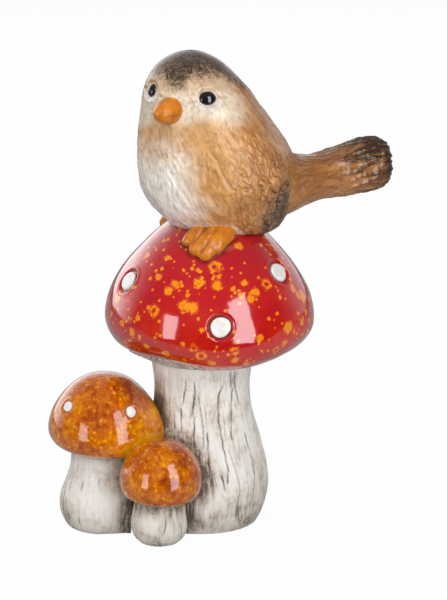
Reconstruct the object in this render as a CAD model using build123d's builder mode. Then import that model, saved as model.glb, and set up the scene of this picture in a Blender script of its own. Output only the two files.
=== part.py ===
from build123d import *
import os
from math import atan2, cos, degrees, hypot, radians, sin

# A ceramic ornament: one large and two small mushrooms, with a small bird on the large cap.
# The castings are hollow shells, stuck together with slip. Millimetres and degrees throughout.
# The origin is the middle of the large stem's foot, on the surface that the ornament stands on.
# +Z is up, and the ornament's front faces -Y.

# Casting and joining
wall = 4.0  # cast wall of the large mushroom and the bird
small_wall = 3.0  # cast wall of the small mushrooms
joint_gap = 0.2  # slip line left between two pieces
ground_spare = 3.0  # depth of stem cast below the ground line, then ground off
spigot_wall = 3.0  # tube wall of the spigot on top of each stem
rim_lip = 0.8  # width of the cap's edge around its mouth
plug_taper = 2.0  # how much the mouth narrows from the rim up
recess_draft = 8.0  # draft of a recess's wall, so that it leaves the mould
end_pull = (1, 1)  # how hard a profile's ends pull on its curve

# Large mushroom: an upright stem, and a cap that leans a little to the right
main_lean = 2.0
main_foot_radius = 17.3
main_bulge_radius = 24.4
main_bulge_height = 14.0
main_waist_radius = 17.5
main_waist_height = 49.0
main_neck_radius = 18.0
main_neck_height = 60.0
main_spigot_step = 4.5
main_drain_radius = 7.0
main_gill_rise = 6.0
main_gill_plate = 5.0
main_gill_count = 48
main_mouth_radius = 30.0
main_rim_height = 12.5
main_cap_radius = 38.1
main_shoulder_radius = 25.9
main_shoulder_height = 23.8
main_crown_height = 41.5
crown_vent_radius = 5.0

# Small mushroom on the left
left_x = -38.3
left_y = -9.0
left_lean = 4.0
left_foot_radius = 9.0
left_bulge_radius = 14.8
left_bulge_height = 10.5
left_waist_radius = 11.6
left_waist_height = 22.0
left_neck_radius = 11.2
left_neck_height = 27.8
left_spigot_step = 2.6
left_drain_radius = 3.0
left_gill_rise = 2.5
left_gill_plate = 3.5
left_gill_count = 36
left_mouth_radius = 15.5
left_rim_height = 6.8
left_cap_radius = 20.4
left_shoulder_radius = 14.5
left_shoulder_height = 14.2
left_crown_height = 21.0

# Small mushroom in front
front_x = -15.8
front_y = -26.5
front_lean = 2.5
front_foot_radius = 4.8
front_bulge_radius = 10.4
front_bulge_height = 6.5
front_waist_radius = 9.5
front_waist_height = 11.5
front_neck_radius = 9.0
front_neck_height = 14.8
front_spigot_step = 2.2
front_drain_radius = 2.5
front_gill_rise = 1.5
front_gill_plate = 3.0
front_gill_count = 30
front_mouth_radius = 11.0
front_rim_height = 7.2
front_cap_radius = 15.0
front_shoulder_radius = 11.0
front_shoulder_height = 9.8
front_crown_height = 14.6

# Gill slots
gill_slot_width = 0.7
gill_slot_depth = 0.8
gill_slot_margin = 1.0

# White dots: places are a height above the widest part of the cap, and an azimuth around it
main_dot_radius = 3.6
main_dot_ring_radius = 4.8
main_dot_depth = 1.2
main_dot_proud = 0.4
main_dot_places = [(4.7, -84), (14.6, -154), (20.2, -34), (5.0, 25), (18.0, 85), (5.0, 150)]
left_dot_radius = 2.0
left_dot_ring_radius = 2.5
left_dot_depth = 1.0
left_dot_proud = 0.3
left_dot_places = [(10.6, -142), (11.2, -55), (11.0, 120)]

# Bird's body: a pear on an axis that leans the way the bird faces, with stations along the axis
bird_heading = 60.0  # from straight ahead towards the left
bird_lean = 21.2
bird_setback = 5.6
bird_sink = 16.5
belly_radius = 22.4
breast_radius = 28.0
breast_height = 14.0
nape_radius = 23.2
nape_height = 30.0
cheek_radius = 18.7
cheek_height = 42.1
brow_radius = 13.6
brow_height = 51.6
bird_height = 58.3

# Bird's face: heights above the crown of the cap
head_heading = 12.0
eye_spread = 37.5
eye_height = 41.8
eye_radius = 2.9
eye_depth = 2.0
eye_dome = 1.2
beak_heading = 27.0
beak_drop = 4.4  # below the eyes
beak_radius = 4.8
beak_length = 8.0
beak_bridge_radius = 3.4
beak_bridge_reach = 5.2
beak_root = 3.0

# Wings: distances behind the body's axis and above the crown of the cap
wing_thickness = 2.4
wing_shoulder_back = -9.0
wing_shoulder_height = 29.0
wing_back_back = 10.0
wing_back_height = 24.0
wing_tip_back = 17.5
wing_tip_height = -6.0
wing_belly_back = -9.0
wing_belly_height = -4.0

# Tail: stations along its own axis, behind the body's axis
tail_height = -0.6
tail_rise = 7.0
tail_root_reach = 18.0
tail_root_width = 13.5
tail_root_depth = 13.0
tail_neck_reach = 33.0
tail_neck_width = 8.4
tail_neck_depth = 8.2
tail_end_reach = 67.6
tail_end_width = 9.0
tail_end_depth = 9.3
tail_end_round = 4.0

# Feet: heels at a drop below the crown of the cap and an azimuth around it
foot_drop = 8.5
left_foot_azimuth = 280.0
right_foot_azimuth = 138.0
foot_heading = 52.0
toe_count = 3
toe_spread = 36.0
toe_start = 1.5
toe_length = 10.3
toe_radius = 3.3

os.makedirs("parts", exist_ok=True)


def leaning_frame(x, y, lean):
    """Frame standing on the ground at x, y, with its axis leaning to the right."""
    turn = radians(lean)
    return Plane((x, y, 0), x_dir=(cos(turn), 0, -sin(turn)), z_dir=(sin(turn), 0, cos(turn)))


def side_of(frame):
    """Plane for a half profile: across is the radius, up is the height on the frame's axis."""
    return Plane(frame.origin, x_dir=frame.x_dir, z_dir=-frame.y_dir)


def spin_of(frame):
    """Axis that a half profile of this frame turns about."""
    return Axis(frame.origin, frame.z_dir)


def place_on(form, start, direction):
    """Plane on a form's skin, facing outwards, where a ray from inside the form comes out."""
    reach = form.bounding_box().diagonal
    inside = form.intersect(Edge.make_line(start, start + direction.normalized() * reach))
    point = inside.vertices().sort_by_distance(start)[-1].center()
    skin = form.faces().sort_by_distance(point)[0]
    outwards = skin.normal_at(point)
    return Plane(point, x_dir=Vector(0, 0, 1).cross(outwards), z_dir=outwards)


def place_around(form, frame, height, azimuth):
    """Plane on a turned form's skin at a height on its axis and an azimuth around it."""
    start = frame.from_local_coords((0, 0, height))
    ahead = frame.from_local_coords((cos(radians(azimuth)), sin(radians(azimuth)), height))
    return place_on(form, start, ahead - start)


def stem_form(frame, foot, bulge, bulge_height, waist, waist_height, neck, neck_height,
              grow=0.0, sole=-ground_spare):
    """Turned form of a stem from its sole to its neck, grown all round by grow."""
    with BuildPart() as form:
        with BuildSketch(side_of(frame)):
            with BuildLine():
                Spline(
                    (foot + grow, sole),
                    (bulge + grow, bulge_height),
                    (waist + grow, waist_height),
                    (neck + grow, neck_height + grow),
                    tangents=[(1, 1), (0.2, 1)],
                    tangent_scalars=end_pull,
                )
                Polyline(
                    (neck + grow, neck_height + grow),
                    (0, neck_height + grow),
                    (0, sole),
                    (foot + grow, sole),
                )
            make_face()
        revolve(axis=spin_of(frame))
    return form.part


def stem_casting(frame, sizes, skin, spigot_step, spigot_height, drain):
    """Hollow stem with a spigot for the gill ring and a drain hole, ground flat below."""
    neck, neck_height = sizes[-2:]
    spigot = neck - spigot_step
    with BuildPart() as casting:
        add(stem_form(frame, *sizes))
        with BuildSketch(frame.offset(neck_height)):
            Circle(spigot)
        extrude(amount=spigot_height)
        add(stem_form(frame, *sizes, grow=-skin, sole=skin), mode=Mode.SUBTRACT)
        with BuildSketch(frame.offset(neck_height + spigot_height)):
            Circle(spigot - spigot_wall)
        extrude(amount=-spigot_height - 2 * skin, mode=Mode.SUBTRACT)
        with BuildSketch(frame.offset(-ground_spare)):
            Circle(drain)
        extrude(amount=ground_spare + 2 * skin, mode=Mode.SUBTRACT)
        split(bisect_by=Plane.XY)
    return casting.part


def gill_ring(frame, stem_frame, neck, neck_height, spigot_step, rise, plate, mouth, count):
    """Gill ring: a tapered plug for the cap's mouth, bored for the spigot, with slots below."""
    bore = neck - spigot_step + joint_gap
    base = neck_height + rise
    edge = mouth - joint_gap
    slope = degrees(atan2(rise, edge - neck))
    slot_length = hypot(rise, edge - neck) - 2 * gill_slot_margin
    with BuildPart() as ring:
        with BuildSketch(side_of(frame)):
            with BuildLine():
                Polyline(
                    (0, neck_height),
                    (neck, neck_height),
                    (edge, base),
                    (edge - plug_taper, base + plate),
                    (0, base + plate),
                    close=True,
                )
            make_face()
        revolve(axis=spin_of(frame))
        with BuildSketch(stem_frame.offset(neck_height - plate)):
            Circle(bore)
        extrude(amount=rise + 3 * plate, mode=Mode.SUBTRACT)
        with Locations(frame.location):
            with PolarLocations((neck + edge) / 2, count):
                with Locations(Location((0, 0, (neck_height + base) / 2), (0, -slope, 0))):
                    Box(slot_length, gill_slot_width, 2 * gill_slot_depth, mode=Mode.SUBTRACT)
    return ring.part


def gill_room(frame, neck, neck_height, mouth, base):
    """Room that a gill ring takes below its cap, with the slip line around it."""
    with BuildPart() as room:
        with BuildSketch(side_of(frame)):
            with BuildLine():
                Polyline(
                    (0, neck_height - joint_gap),
                    (neck + joint_gap, neck_height - joint_gap),
                    (mouth + joint_gap, base),
                    (0, base),
                    close=True,
                )
            make_face()
        revolve(axis=spin_of(frame))
    return room.part


def cap_form(frame, base, mouth, rim_height, radius, shoulder, shoulder_height, crown, grow=0.0):
    """Turned outside of a cap, from its rim at height base up to its crown."""
    widest = base + rim_height
    slant = grow * cos(radians(45))
    with BuildPart() as form:
        with BuildSketch(side_of(frame)):
            with BuildLine():
                Spline(
                    (mouth + rim_lip + grow, base - grow),
                    (radius + grow, widest),
                    (shoulder + slant, widest + shoulder_height + slant),
                    (0, widest + crown + grow),
                    tangents=[(1, 0.2), (-1, 0)],
                    tangent_scalars=end_pull,
                )
                Polyline(
                    (0, widest + crown + grow),
                    (0, base - grow),
                    (mouth + rim_lip + grow, base - grow),
                )
            make_face()
        revolve(axis=spin_of(frame))
    return form.part


def cap_hollow(frame, base, mouth, rim_height, radius, shoulder, shoulder_height, crown,
               plate, skin):
    """Inside of a cap: a tapered mouth for the gill ring, and the hollow above it."""
    widest = base + rim_height
    slant = skin * cos(radians(45))
    with BuildPart() as form:
        with BuildSketch(side_of(frame)):
            with BuildLine():
                Spline(
                    (mouth - plug_taper, base + plate),
                    (radius - skin, widest + skin / 2),
                    (shoulder - slant, widest + shoulder_height - slant),
                    (0, widest + crown - skin),
                    tangents=[(1, 0.8), (-1, 0)],
                    tangent_scalars=end_pull,
                )
                Polyline(
                    (0, widest + crown - skin),
                    (0, base),
                    (mouth, base),
                    (mouth - plug_taper, base + plate),
                )
            make_face()
        revolve(axis=spin_of(frame))
    return form.part


def disc_on(spot, radius, depth, proud):
    """Disc with a domed face, its foot sunk by depth below a place on a skin."""
    with BuildPart() as disc:
        with BuildSketch(side_of(spot)):
            with BuildLine():
                Polyline((0, proud), (0, -depth), (radius, -depth), (radius, 0))
                TangentArc((0, proud), (radius, 0), tangent=(1, 0))
            make_face()
        revolve(axis=spin_of(spot))
    return disc.part


def recess_at(spot, radius, depth):
    """Round recess with a drafted wall, to be cut into a skin at a place."""
    with BuildPart() as recess:
        with BuildSketch(spot.offset(-depth)):
            Circle(radius)
        extrude(amount=2 * depth, taper=-recess_draft)
    return recess.part


# Large mushroom: stem, gill ring and cap, stacked on the spigot
main_stem_frame = leaning_frame(0, 0, 0)
main_frame = leaning_frame(0, 0, main_lean)
main_stem_sizes = (main_foot_radius, main_bulge_radius, main_bulge_height, main_waist_radius,
                   main_waist_height, main_neck_radius, main_neck_height)
main_base = main_neck_height + main_gill_rise
main_widest = main_base + main_rim_height
main_cap_sizes = (main_base, main_mouth_radius, main_rim_height, main_cap_radius,
                  main_shoulder_radius, main_shoulder_height, main_crown_height)
main_stem_room = stem_form(main_stem_frame, *main_stem_sizes, grow=joint_gap)
main_cap_skin = cap_form(main_frame, *main_cap_sizes)
main_cap_room = cap_form(main_frame, *main_cap_sizes, grow=joint_gap)
main_dot_spots = [
    place_around(main_cap_skin, main_frame, main_widest + height, azimuth)
    for height, azimuth in main_dot_places
]

with BuildPart() as main_stem:
    add(stem_casting(main_stem_frame, main_stem_sizes, wall, main_spigot_step,
                     main_gill_rise + main_gill_plate, main_drain_radius))

with BuildPart() as main_gills:
    add(gill_ring(main_frame, main_stem_frame, main_neck_radius, main_neck_height,
                  main_spigot_step, main_gill_rise, main_gill_plate, main_mouth_radius,
                  main_gill_count))
    add(main_stem_room, mode=Mode.SUBTRACT)

with BuildPart() as main_cap:
    add(main_cap_skin)
    add(cap_hollow(main_frame, *main_cap_sizes, main_gill_plate, wall), mode=Mode.SUBTRACT)
    for spot in main_dot_spots:
        add(recess_at(spot, main_dot_ring_radius, main_dot_depth), mode=Mode.SUBTRACT)
    with BuildSketch(main_frame.offset(main_widest + main_crown_height)):
        Circle(crown_vent_radius)
    extrude(amount=-2 * wall, mode=Mode.SUBTRACT)

with BuildPart() as main_cap_dots:
    for spot in main_dot_spots:
        add(disc_on(spot, main_dot_radius, main_dot_depth, main_dot_proud))

# Left mushroom, saddled against the large stem
left_frame = leaning_frame(left_x, left_y, left_lean)
left_stem_sizes = (left_foot_radius, left_bulge_radius, left_bulge_height, left_waist_radius,
                   left_waist_height, left_neck_radius, left_neck_height)
left_base = left_neck_height + left_gill_rise
left_cap_sizes = (left_base, left_mouth_radius, left_rim_height, left_cap_radius,
                  left_shoulder_radius, left_shoulder_height, left_crown_height)
left_stem_room = stem_form(left_frame, *left_stem_sizes, grow=joint_gap)
left_gill_room = gill_room(left_frame, left_neck_radius, left_neck_height, left_mouth_radius,
                           left_base)
left_cap_skin = cap_form(left_frame, *left_cap_sizes)
left_cap_room = cap_form(left_frame, *left_cap_sizes, grow=joint_gap)
left_dot_spots = [
    place_around(left_cap_skin, left_frame, left_base + left_rim_height + height, azimuth)
    for height, azimuth in left_dot_places
]

with BuildPart() as left_stem:
    add(stem_casting(left_frame, left_stem_sizes, small_wall, left_spigot_step,
                     left_gill_rise + left_gill_plate, left_drain_radius))
    add(main_stem_room, mode=Mode.SUBTRACT)

with BuildPart() as left_gills:
    add(gill_ring(left_frame, left_frame, left_neck_radius, left_neck_height,
                  left_spigot_step, left_gill_rise, left_gill_plate, left_mouth_radius,
                  left_gill_count))
    add(main_stem_room, mode=Mode.SUBTRACT)

with BuildPart() as left_cap:
    add(left_cap_skin)
    add(cap_hollow(left_frame, *left_cap_sizes, left_gill_plate, small_wall), mode=Mode.SUBTRACT)
    for spot in left_dot_spots:
        add(recess_at(spot, left_dot_ring_radius, left_dot_depth), mode=Mode.SUBTRACT)
    add(main_stem_room, mode=Mode.SUBTRACT)

with BuildPart() as left_cap_dots:
    for spot in left_dot_spots:
        add(disc_on(spot, left_dot_radius, left_dot_depth, left_dot_proud))

# Front mushroom, saddled against the large stem and the left mushroom
front_frame = leaning_frame(front_x, front_y, front_lean)
front_stem_sizes = (front_foot_radius, front_bulge_radius, front_bulge_height, front_waist_radius,
                    front_waist_height, front_neck_radius, front_neck_height)
front_base = front_neck_height + front_gill_rise
front_cap_sizes = (front_base, front_mouth_radius, front_rim_height, front_cap_radius,
                   front_shoulder_radius, front_shoulder_height, front_crown_height)

with BuildPart() as front_stem:
    add(stem_casting(front_frame, front_stem_sizes, small_wall, front_spigot_step,
                     front_gill_rise + front_gill_plate, front_drain_radius))
    add(main_stem_room, mode=Mode.SUBTRACT)
    add(left_stem_room, mode=Mode.SUBTRACT)

with BuildPart() as front_gills:
    add(gill_ring(front_frame, front_frame, front_neck_radius, front_neck_height,
                  front_spigot_step, front_gill_rise, front_gill_plate, front_mouth_radius,
                  front_gill_count))
    add(main_stem_room, mode=Mode.SUBTRACT)
    add(left_stem_room, mode=Mode.SUBTRACT)

with BuildPart() as front_cap:
    add(cap_form(front_frame, *front_cap_sizes))
    add(cap_hollow(front_frame, *front_cap_sizes, front_gill_plate, small_wall), mode=Mode.SUBTRACT)
    add(main_stem_room, mode=Mode.SUBTRACT)
    add(left_stem_room, mode=Mode.SUBTRACT)
    add(left_gill_room, mode=Mode.SUBTRACT)
    add(left_cap_room, mode=Mode.SUBTRACT)

# Bird: frames on the crown of the large cap
facing = Vector(-sin(radians(bird_heading)), -cos(radians(bird_heading)), 0)
up = Vector(0, 0, 1)
crown = main_frame.from_local_coords((0, 0, main_widest + main_crown_height))
bird_seat = crown - facing * bird_setback
bird_axis = facing * sin(radians(bird_lean)) + up * cos(radians(bird_lean))
bird_frame = Plane(bird_seat, x_dir=facing.cross(up), z_dir=bird_axis)
bird_middle = Plane(bird_seat, x_dir=-facing, z_dir=up.cross(facing))


def bird_form(grow=0.0):
    """Turned form of the bird's body and head, grown all round by grow."""
    slant = grow * cos(radians(45))
    with BuildPart() as form:
        with BuildSketch(side_of(bird_frame)):
            with BuildLine():
                Spline(
                    (0, -bird_sink - grow),
                    (belly_radius + grow, 0),
                    (breast_radius + grow, breast_height),
                    (nape_radius + grow, nape_height),
                    (cheek_radius + grow, cheek_height),
                    (brow_radius + slant, brow_height + slant),
                    (0, bird_height + grow),
                    tangents=[(1, 0), (-1, 0)],
                    tangent_scalars=end_pull,
                )
                Line((0, bird_height + grow), (0, -bird_sink - grow))
            make_face()
        revolve(axis=spin_of(bird_frame))
    return form.part


def face_spot(height, heading):
    """Place on the head at a height above the crown of the cap, looking along a heading."""
    start = bird_frame.from_local_coords((0, 0, height / cos(radians(bird_lean))))
    return place_on(bird_skin, start, Vector(-sin(radians(heading)), -cos(radians(heading)), 0))


def foot_form(azimuth):
    """Blunt toes fanned out from a heel on the cap, towards where the feet point."""
    heel_height = main_widest + main_crown_height - foot_drop
    heel = place_around(main_cap_skin, main_frame, heel_height, azimuth)
    downhill = main_frame.z_dir.cross(heel.z_dir).cross(heel.z_dir)
    flat = Plane(heel.origin, x_dir=downhill, z_dir=heel.z_dir)
    turn = 270 - foot_heading - azimuth
    with BuildPart() as foot:
        for toe in range(toe_count):
            swing = radians(turn + toe_spread * (toe - (toe_count - 1) / 2))
            along = flat.x_dir * cos(swing) + flat.y_dir * sin(swing)
            start = flat.origin + along * toe_start
            with BuildSketch(Plane(start, x_dir=along, z_dir=along.cross(flat.z_dir))):
                SlotOverall(toe_length, 2 * toe_radius, align=(Align.MIN, Align.CENTER))
                Rectangle(toe_length, toe_radius, align=(Align.MIN, Align.MAX), mode=Mode.SUBTRACT)
            revolve(axis=Axis(start, along))
        add(main_cap_room, mode=Mode.SUBTRACT)
        add(bird_room, mode=Mode.SUBTRACT)
    return foot.part


bird_skin = bird_form()
bird_room = bird_form(joint_gap)
left_eye_spot = face_spot(eye_height, head_heading - eye_spread)
right_eye_spot = face_spot(eye_height, head_heading + eye_spread)
beak_spot = face_spot(eye_height - beak_drop, beak_heading)

with BuildPart() as bird_body:
    add(bird_skin)
    add(bird_form(-wall), mode=Mode.SUBTRACT)
    for spot in (left_eye_spot, right_eye_spot):
        add(recess_at(spot, eye_radius + joint_gap, eye_depth), mode=Mode.SUBTRACT)
    add(main_cap_room, mode=Mode.SUBTRACT)

with BuildPart() as left_eye:
    add(disc_on(left_eye_spot, eye_radius, eye_depth, eye_dome))

with BuildPart() as right_eye:
    add(disc_on(right_eye_spot, eye_radius, eye_depth, eye_dome))

with BuildSketch() as wing_outline:
    with BuildLine():
        Spline(
            (wing_shoulder_back, wing_shoulder_height),
            (wing_back_back, wing_back_height),
            (wing_tip_back, wing_tip_height),
            (wing_belly_back, wing_belly_height),
            periodic=True,
        )
    make_face()

beak_ahead = Vector(-sin(radians(beak_heading)), -cos(radians(beak_heading)), 0)
beak_frame = Plane(beak_spot.origin, x_dir=up, z_dir=beak_ahead)

tail_ahead = facing * -cos(radians(tail_rise)) + up * sin(radians(tail_rise))
tail_start = bird_seat + up * tail_height
tail_stations = [
    (tail_root_reach, tail_root_width, tail_root_depth),
    (tail_neck_reach, tail_neck_width, tail_neck_depth),
    (tail_end_reach, tail_end_width, tail_end_depth),
]


def tail_form(grow=0.0):
    """Tail lofted through its stations, grown all round by grow."""
    with BuildPart() as form:
        for reach, width, depth in tail_stations:
            station = tail_start + tail_ahead * reach
            with BuildSketch(Plane(station, x_dir=up.cross(facing), z_dir=tail_ahead)):
                Ellipse(width + grow, depth + grow)
        loft()
    return form.part


with BuildPart() as bird_tail:
    add(tail_form())
    fillet(bird_tail.faces().sort_by(Axis(tail_start, tail_ahead))[-1].edges(), tail_end_round)
    add(bird_room, mode=Mode.SUBTRACT)

with BuildPart() as beak:
    with BuildSketch(side_of(beak_frame)):
        with BuildLine():
            Polyline((0, beak_length), (0, -beak_root), (beak_radius, -beak_root), (beak_radius, 0))
            Spline(
                (beak_radius, 0),
                (beak_bridge_radius, beak_bridge_reach),
                (0, beak_length),
                tangents=[(0, 1), (-1, 0)],
                tangent_scalars=end_pull,
            )
        make_face()
    revolve(axis=spin_of(beak_frame))
    add(bird_room, mode=Mode.SUBTRACT)

with BuildPart() as left_wing:
    with BuildSketch(bird_middle):
        add(wing_outline.sketch)
    extrude(amount=2 * breast_radius)
    add(bird_form(joint_gap + wing_thickness), mode=Mode.INTERSECT)
    add(bird_room, mode=Mode.SUBTRACT)
    add(tail_form(joint_gap), mode=Mode.SUBTRACT)
    add(main_cap_room, mode=Mode.SUBTRACT)

with BuildPart() as right_wing:
    mirror(left_wing.part, about=bird_middle)
    add(main_cap_room, mode=Mode.SUBTRACT)

with BuildPart() as left_foot:
    add(foot_form(left_foot_azimuth))

with BuildPart() as right_foot:
    add(foot_form(right_foot_azimuth))

pieces = {
    "main_stem": main_stem,
    "main_gills": main_gills,
    "main_cap": main_cap,
    "main_cap_dots": main_cap_dots,
    "left_stem": left_stem,
    "left_gills": left_gills,
    "left_cap": left_cap,
    "left_cap_dots": left_cap_dots,
    "front_stem": front_stem,
    "front_gills": front_gills,
    "front_cap": front_cap,
    "bird_body": bird_body,
    "bird_tail": bird_tail,
    "left_wing": left_wing,
    "right_wing": right_wing,
    "beak": beak,
    "left_eye": left_eye,
    "right_eye": right_eye,
    "left_foot": left_foot,
    "right_foot": right_foot,
}
for name, piece in pieces.items():
    piece.part.label = name
    export_step(piece.part, f"parts/{name}.step")
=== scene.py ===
import math
import random

import bpy
import numpy as np
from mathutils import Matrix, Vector, kdtree, noise
from mathutils.bvhtree import BVHTree


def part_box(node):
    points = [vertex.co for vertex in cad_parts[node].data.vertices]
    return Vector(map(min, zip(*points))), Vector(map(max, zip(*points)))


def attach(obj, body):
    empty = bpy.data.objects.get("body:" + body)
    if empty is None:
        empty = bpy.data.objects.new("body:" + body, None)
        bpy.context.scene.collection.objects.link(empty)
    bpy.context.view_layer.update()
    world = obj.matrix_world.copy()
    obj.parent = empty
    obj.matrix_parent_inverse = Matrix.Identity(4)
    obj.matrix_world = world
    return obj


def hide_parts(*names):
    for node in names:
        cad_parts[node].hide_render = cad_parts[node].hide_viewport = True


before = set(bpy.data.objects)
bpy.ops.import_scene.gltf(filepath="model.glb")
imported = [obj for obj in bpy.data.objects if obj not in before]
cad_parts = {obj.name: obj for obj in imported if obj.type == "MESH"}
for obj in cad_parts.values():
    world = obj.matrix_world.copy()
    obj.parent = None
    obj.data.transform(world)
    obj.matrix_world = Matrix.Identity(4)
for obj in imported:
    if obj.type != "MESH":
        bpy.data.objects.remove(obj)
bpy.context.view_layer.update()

# Studio: a sweep of white paper, a tall softbox on each side of the camera, and broad ones
# overhead, in front and behind. The camera stands far off and a little above the ornament.
scene = bpy.context.scene
scene.view_settings.view_transform = "Standard"
aim = Vector((0.0078, 0.0, 0.083))
camera_rise = math.radians(15)
bpy.ops.object.camera_add(
    location=aim + Vector((0, -math.cos(camera_rise), math.sin(camera_rise))),
    rotation=(math.pi / 2 - camera_rise, 0, 0),
)
scene.camera = bpy.context.object
scene.camera.data.lens = 164.8
scene.camera.data.clip_start = 0.01


def fill(tree, node, inputs):
    """Sets inputs of a shader node, or links them to other nodes."""
    for name, value in inputs.items():
        if isinstance(value, bpy.types.NodeSocket):
            tree.links.new(value, node.inputs[name])
        else:
            node.inputs[name].default_value = value


def add_node(tree, kind, inputs=None, **settings):
    """New shader node with its settings and inputs."""
    made = tree.nodes.new(kind)
    for name, value in settings.items():
        setattr(made, name, value)
    fill(tree, made, inputs or {})
    return made


def ramp(tree, value, *stops):
    """Colour ramp through (place, colour) stops."""
    made = add_node(tree, "ShaderNodeValToRGB", {0: value})
    places = made.color_ramp.elements
    places[0].position = stops[0][0]
    places[-1].position = stops[-1][0]
    for at, _ in stops[1:-1]:
        places.new(at)
    for place, (_, colour) in zip(places, stops):
        place.color = (*colour, 1)
    return made.outputs[0]


def grey(value):
    """Neutral colour."""
    return (value, value, value)


def calc(tree, operation, first, second=0.0, third=0.0, clamp=False):
    """Result of a sum on shader values."""
    inputs = {0: first, 1: second, 2: third}
    return add_node(tree, "ShaderNodeMath", inputs, operation=operation, use_clamp=clamp).outputs[0]


def mixed(tree, share, under, over, blend="MIX"):
    """One colour laid over another by a share."""
    inputs = {0: share, 6: under, 7: over}
    return add_node(tree, "ShaderNodeMix", inputs, data_type="RGBA", blend_type=blend).outputs[2]


room = bpy.data.worlds.new("studio_room")
scene.world = room
room.use_nodes = True
tree = room.node_tree
tree.nodes.clear()
way = add_node(tree, "ShaderNodeTexCoord").outputs["Generated"]
way = add_node(tree, "ShaderNodeSeparateXYZ", {0: way}).outputs
from_front = calc(tree, "MULTIPLY_ADD", way["Y"], 0.5, 0.5)
from_left = calc(tree, "MULTIPLY_ADD", way["X"], 0.5, 0.5)
walls = ramp(
    tree, from_front, (0.0, grey(0.025)), (0.48, grey(0.06)), (0.74, grey(0.85)), (1.0, grey(1.2))
)
height = ramp(tree, way["Z"], (0.20, grey(1.0)), (0.65, grey(0.22)))
aside = ramp(tree, from_left, (0.0, grey(2.3)), (0.5, grey(0.9)), (1.0, grey(0.5)))
for part in (height, aside):
    walls = mixed(tree, 1.0, walls, part, "MULTIPLY")
ceiling = ramp(tree, way["Z"], (0.15, grey(0.0)), (0.80, grey(0.13)))
room_light = mixed(tree, 1.0, walls, ceiling, "ADD")
lit = add_node(tree, "ShaderNodeBackground", {"Color": room_light}).outputs[0]
paper = add_node(tree, "ShaderNodeBackground", {"Color": (0.99, 0.99, 0.99, 1)}).outputs[0]
seen = add_node(tree, "ShaderNodeLightPath").outputs["Is Camera Ray"]
both = add_node(tree, "ShaderNodeMixShader", {0: seen, 1: lit, 2: paper}).outputs[0]
add_node(tree, "ShaderNodeOutputWorld", {"Surface": both})


def softbox(name, place, size, power, mirrored):
    """Rectangular studio lamp that faces the ornament; glazes can mirror it or not."""
    bpy.ops.object.light_add(type="AREA", location=place)
    lamp = bpy.context.object
    lamp.name = name
    lamp.data.shape = "RECTANGLE"
    lamp.data.size, lamp.data.size_y = size
    lamp.data.energy = power
    lamp.rotation_euler = (aim - Vector(place)).to_track_quat("-Z", "Y").to_euler()
    lamp.visible_glossy = mirrored


softbox("softbox_right", (0.52, -0.66, 0.25), size=(0.34, 1.10), power=5.4, mirrored=True)
softbox("softbox_left", (-0.57, -0.62, 0.13), size=(0.24, 0.54), power=1.7, mirrored=True)
softbox("softbox_above", (-0.20, -0.10, 1.05), size=(0.9, 0.7), power=4.5, mirrored=False)
softbox("softbox_front", (-0.15, -1.10, 0.55), size=(0.8, 0.8), power=6.0, mirrored=False)
softbox("softbox_behind", (0.25, 1.00, 0.60), size=(0.8, 0.8), power=2.2, mirrored=False)

bpy.ops.mesh.primitive_plane_add(size=4, location=(0, 1.88, -0.0002))
floor = bpy.context.object
floor.name = "paper_floor"
sheet = bpy.data.materials.new("white_paper")
sheet.use_nodes = True
tree = sheet.node_tree
tree.nodes.clear()
matt = add_node(tree, "ShaderNodeBsdfDiffuse", {"Color": (0.40, 0.40, 0.40, 1)}).outputs[0]
glow = add_node(tree, "ShaderNodeEmission", {"Strength": 1.048}).outputs[0]
seen = add_node(tree, "ShaderNodeLightPath").outputs["Is Camera Ray"]
share = calc(tree, "MULTIPLY", seen, 0.92)
both = add_node(tree, "ShaderNodeMixShader", {0: share, 1: matt, 2: glow}).outputs[0]
add_node(tree, "ShaderNodeOutputMaterial", {"Surface": both})
floor.data.materials.append(sheet)

# Large stem: a slip-cast hollow of white earthenware, upright, swelling at the foot. Cracks and
# brush lines are cut into it while it is damp, and a brown wash is left in them. It is ground flat
# below and has a drain hole.
MM = 0.001
merge_within = 2e-6
crack_width, crack_depth = 0.30, 0.6
brush_width, brush_depth = 0.26, 0.2


def smooth_line(points, step):
    """Even points, about step apart, on a smooth line through a few of (radius, height)."""
    path = [np.array(point, float) for point in points]
    before = path[1] * (-1, 1) if path[0][0] == 0 else 2 * path[0] - path[1]
    after = path[-2] * (-1, 1) if path[-1][0] == 0 else 2 * path[-1] - path[-2]
    path = [before, *path, after]
    line = []
    for a, b, c, d in zip(path, path[1:], path[2:], path[3:]):
        knots = np.cumsum([0, *[np.linalg.norm(q - p) ** 0.5 for p, q in ((a, b), (b, c), (c, d))]])
        t = np.linspace(knots[1], knots[2], 24, endpoint=False)[:, None]

        def between(p, q, i, j):
            return ((knots[j] - t) * p + (t - knots[i]) * q) / (knots[j] - knots[i])

        ab, bc, cd = between(a, b, 0, 1), between(b, c, 1, 2), between(c, d, 2, 3)
        line.append(between(between(ab, bc, 0, 2), between(bc, cd, 1, 3), 1, 2))
    line = np.concatenate([*line, [path[-2]]])
    run = np.concatenate([[0], np.cumsum(np.linalg.norm(np.diff(line, axis=0), axis=1))])
    even = np.linspace(0, run[-1], max(2, round(run[-1] / step)) + 1)
    return np.stack([np.interp(even, run, line[:, k]) for k in (0, 1)], axis=1)


def picked(*pieces):
    """Selects these pieces alone, with the first one active."""
    bpy.ops.object.select_all(action="DESELECT")
    for piece in pieces:
        piece.select_set(True)
    bpy.context.view_layer.objects.active = pieces[0]


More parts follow.
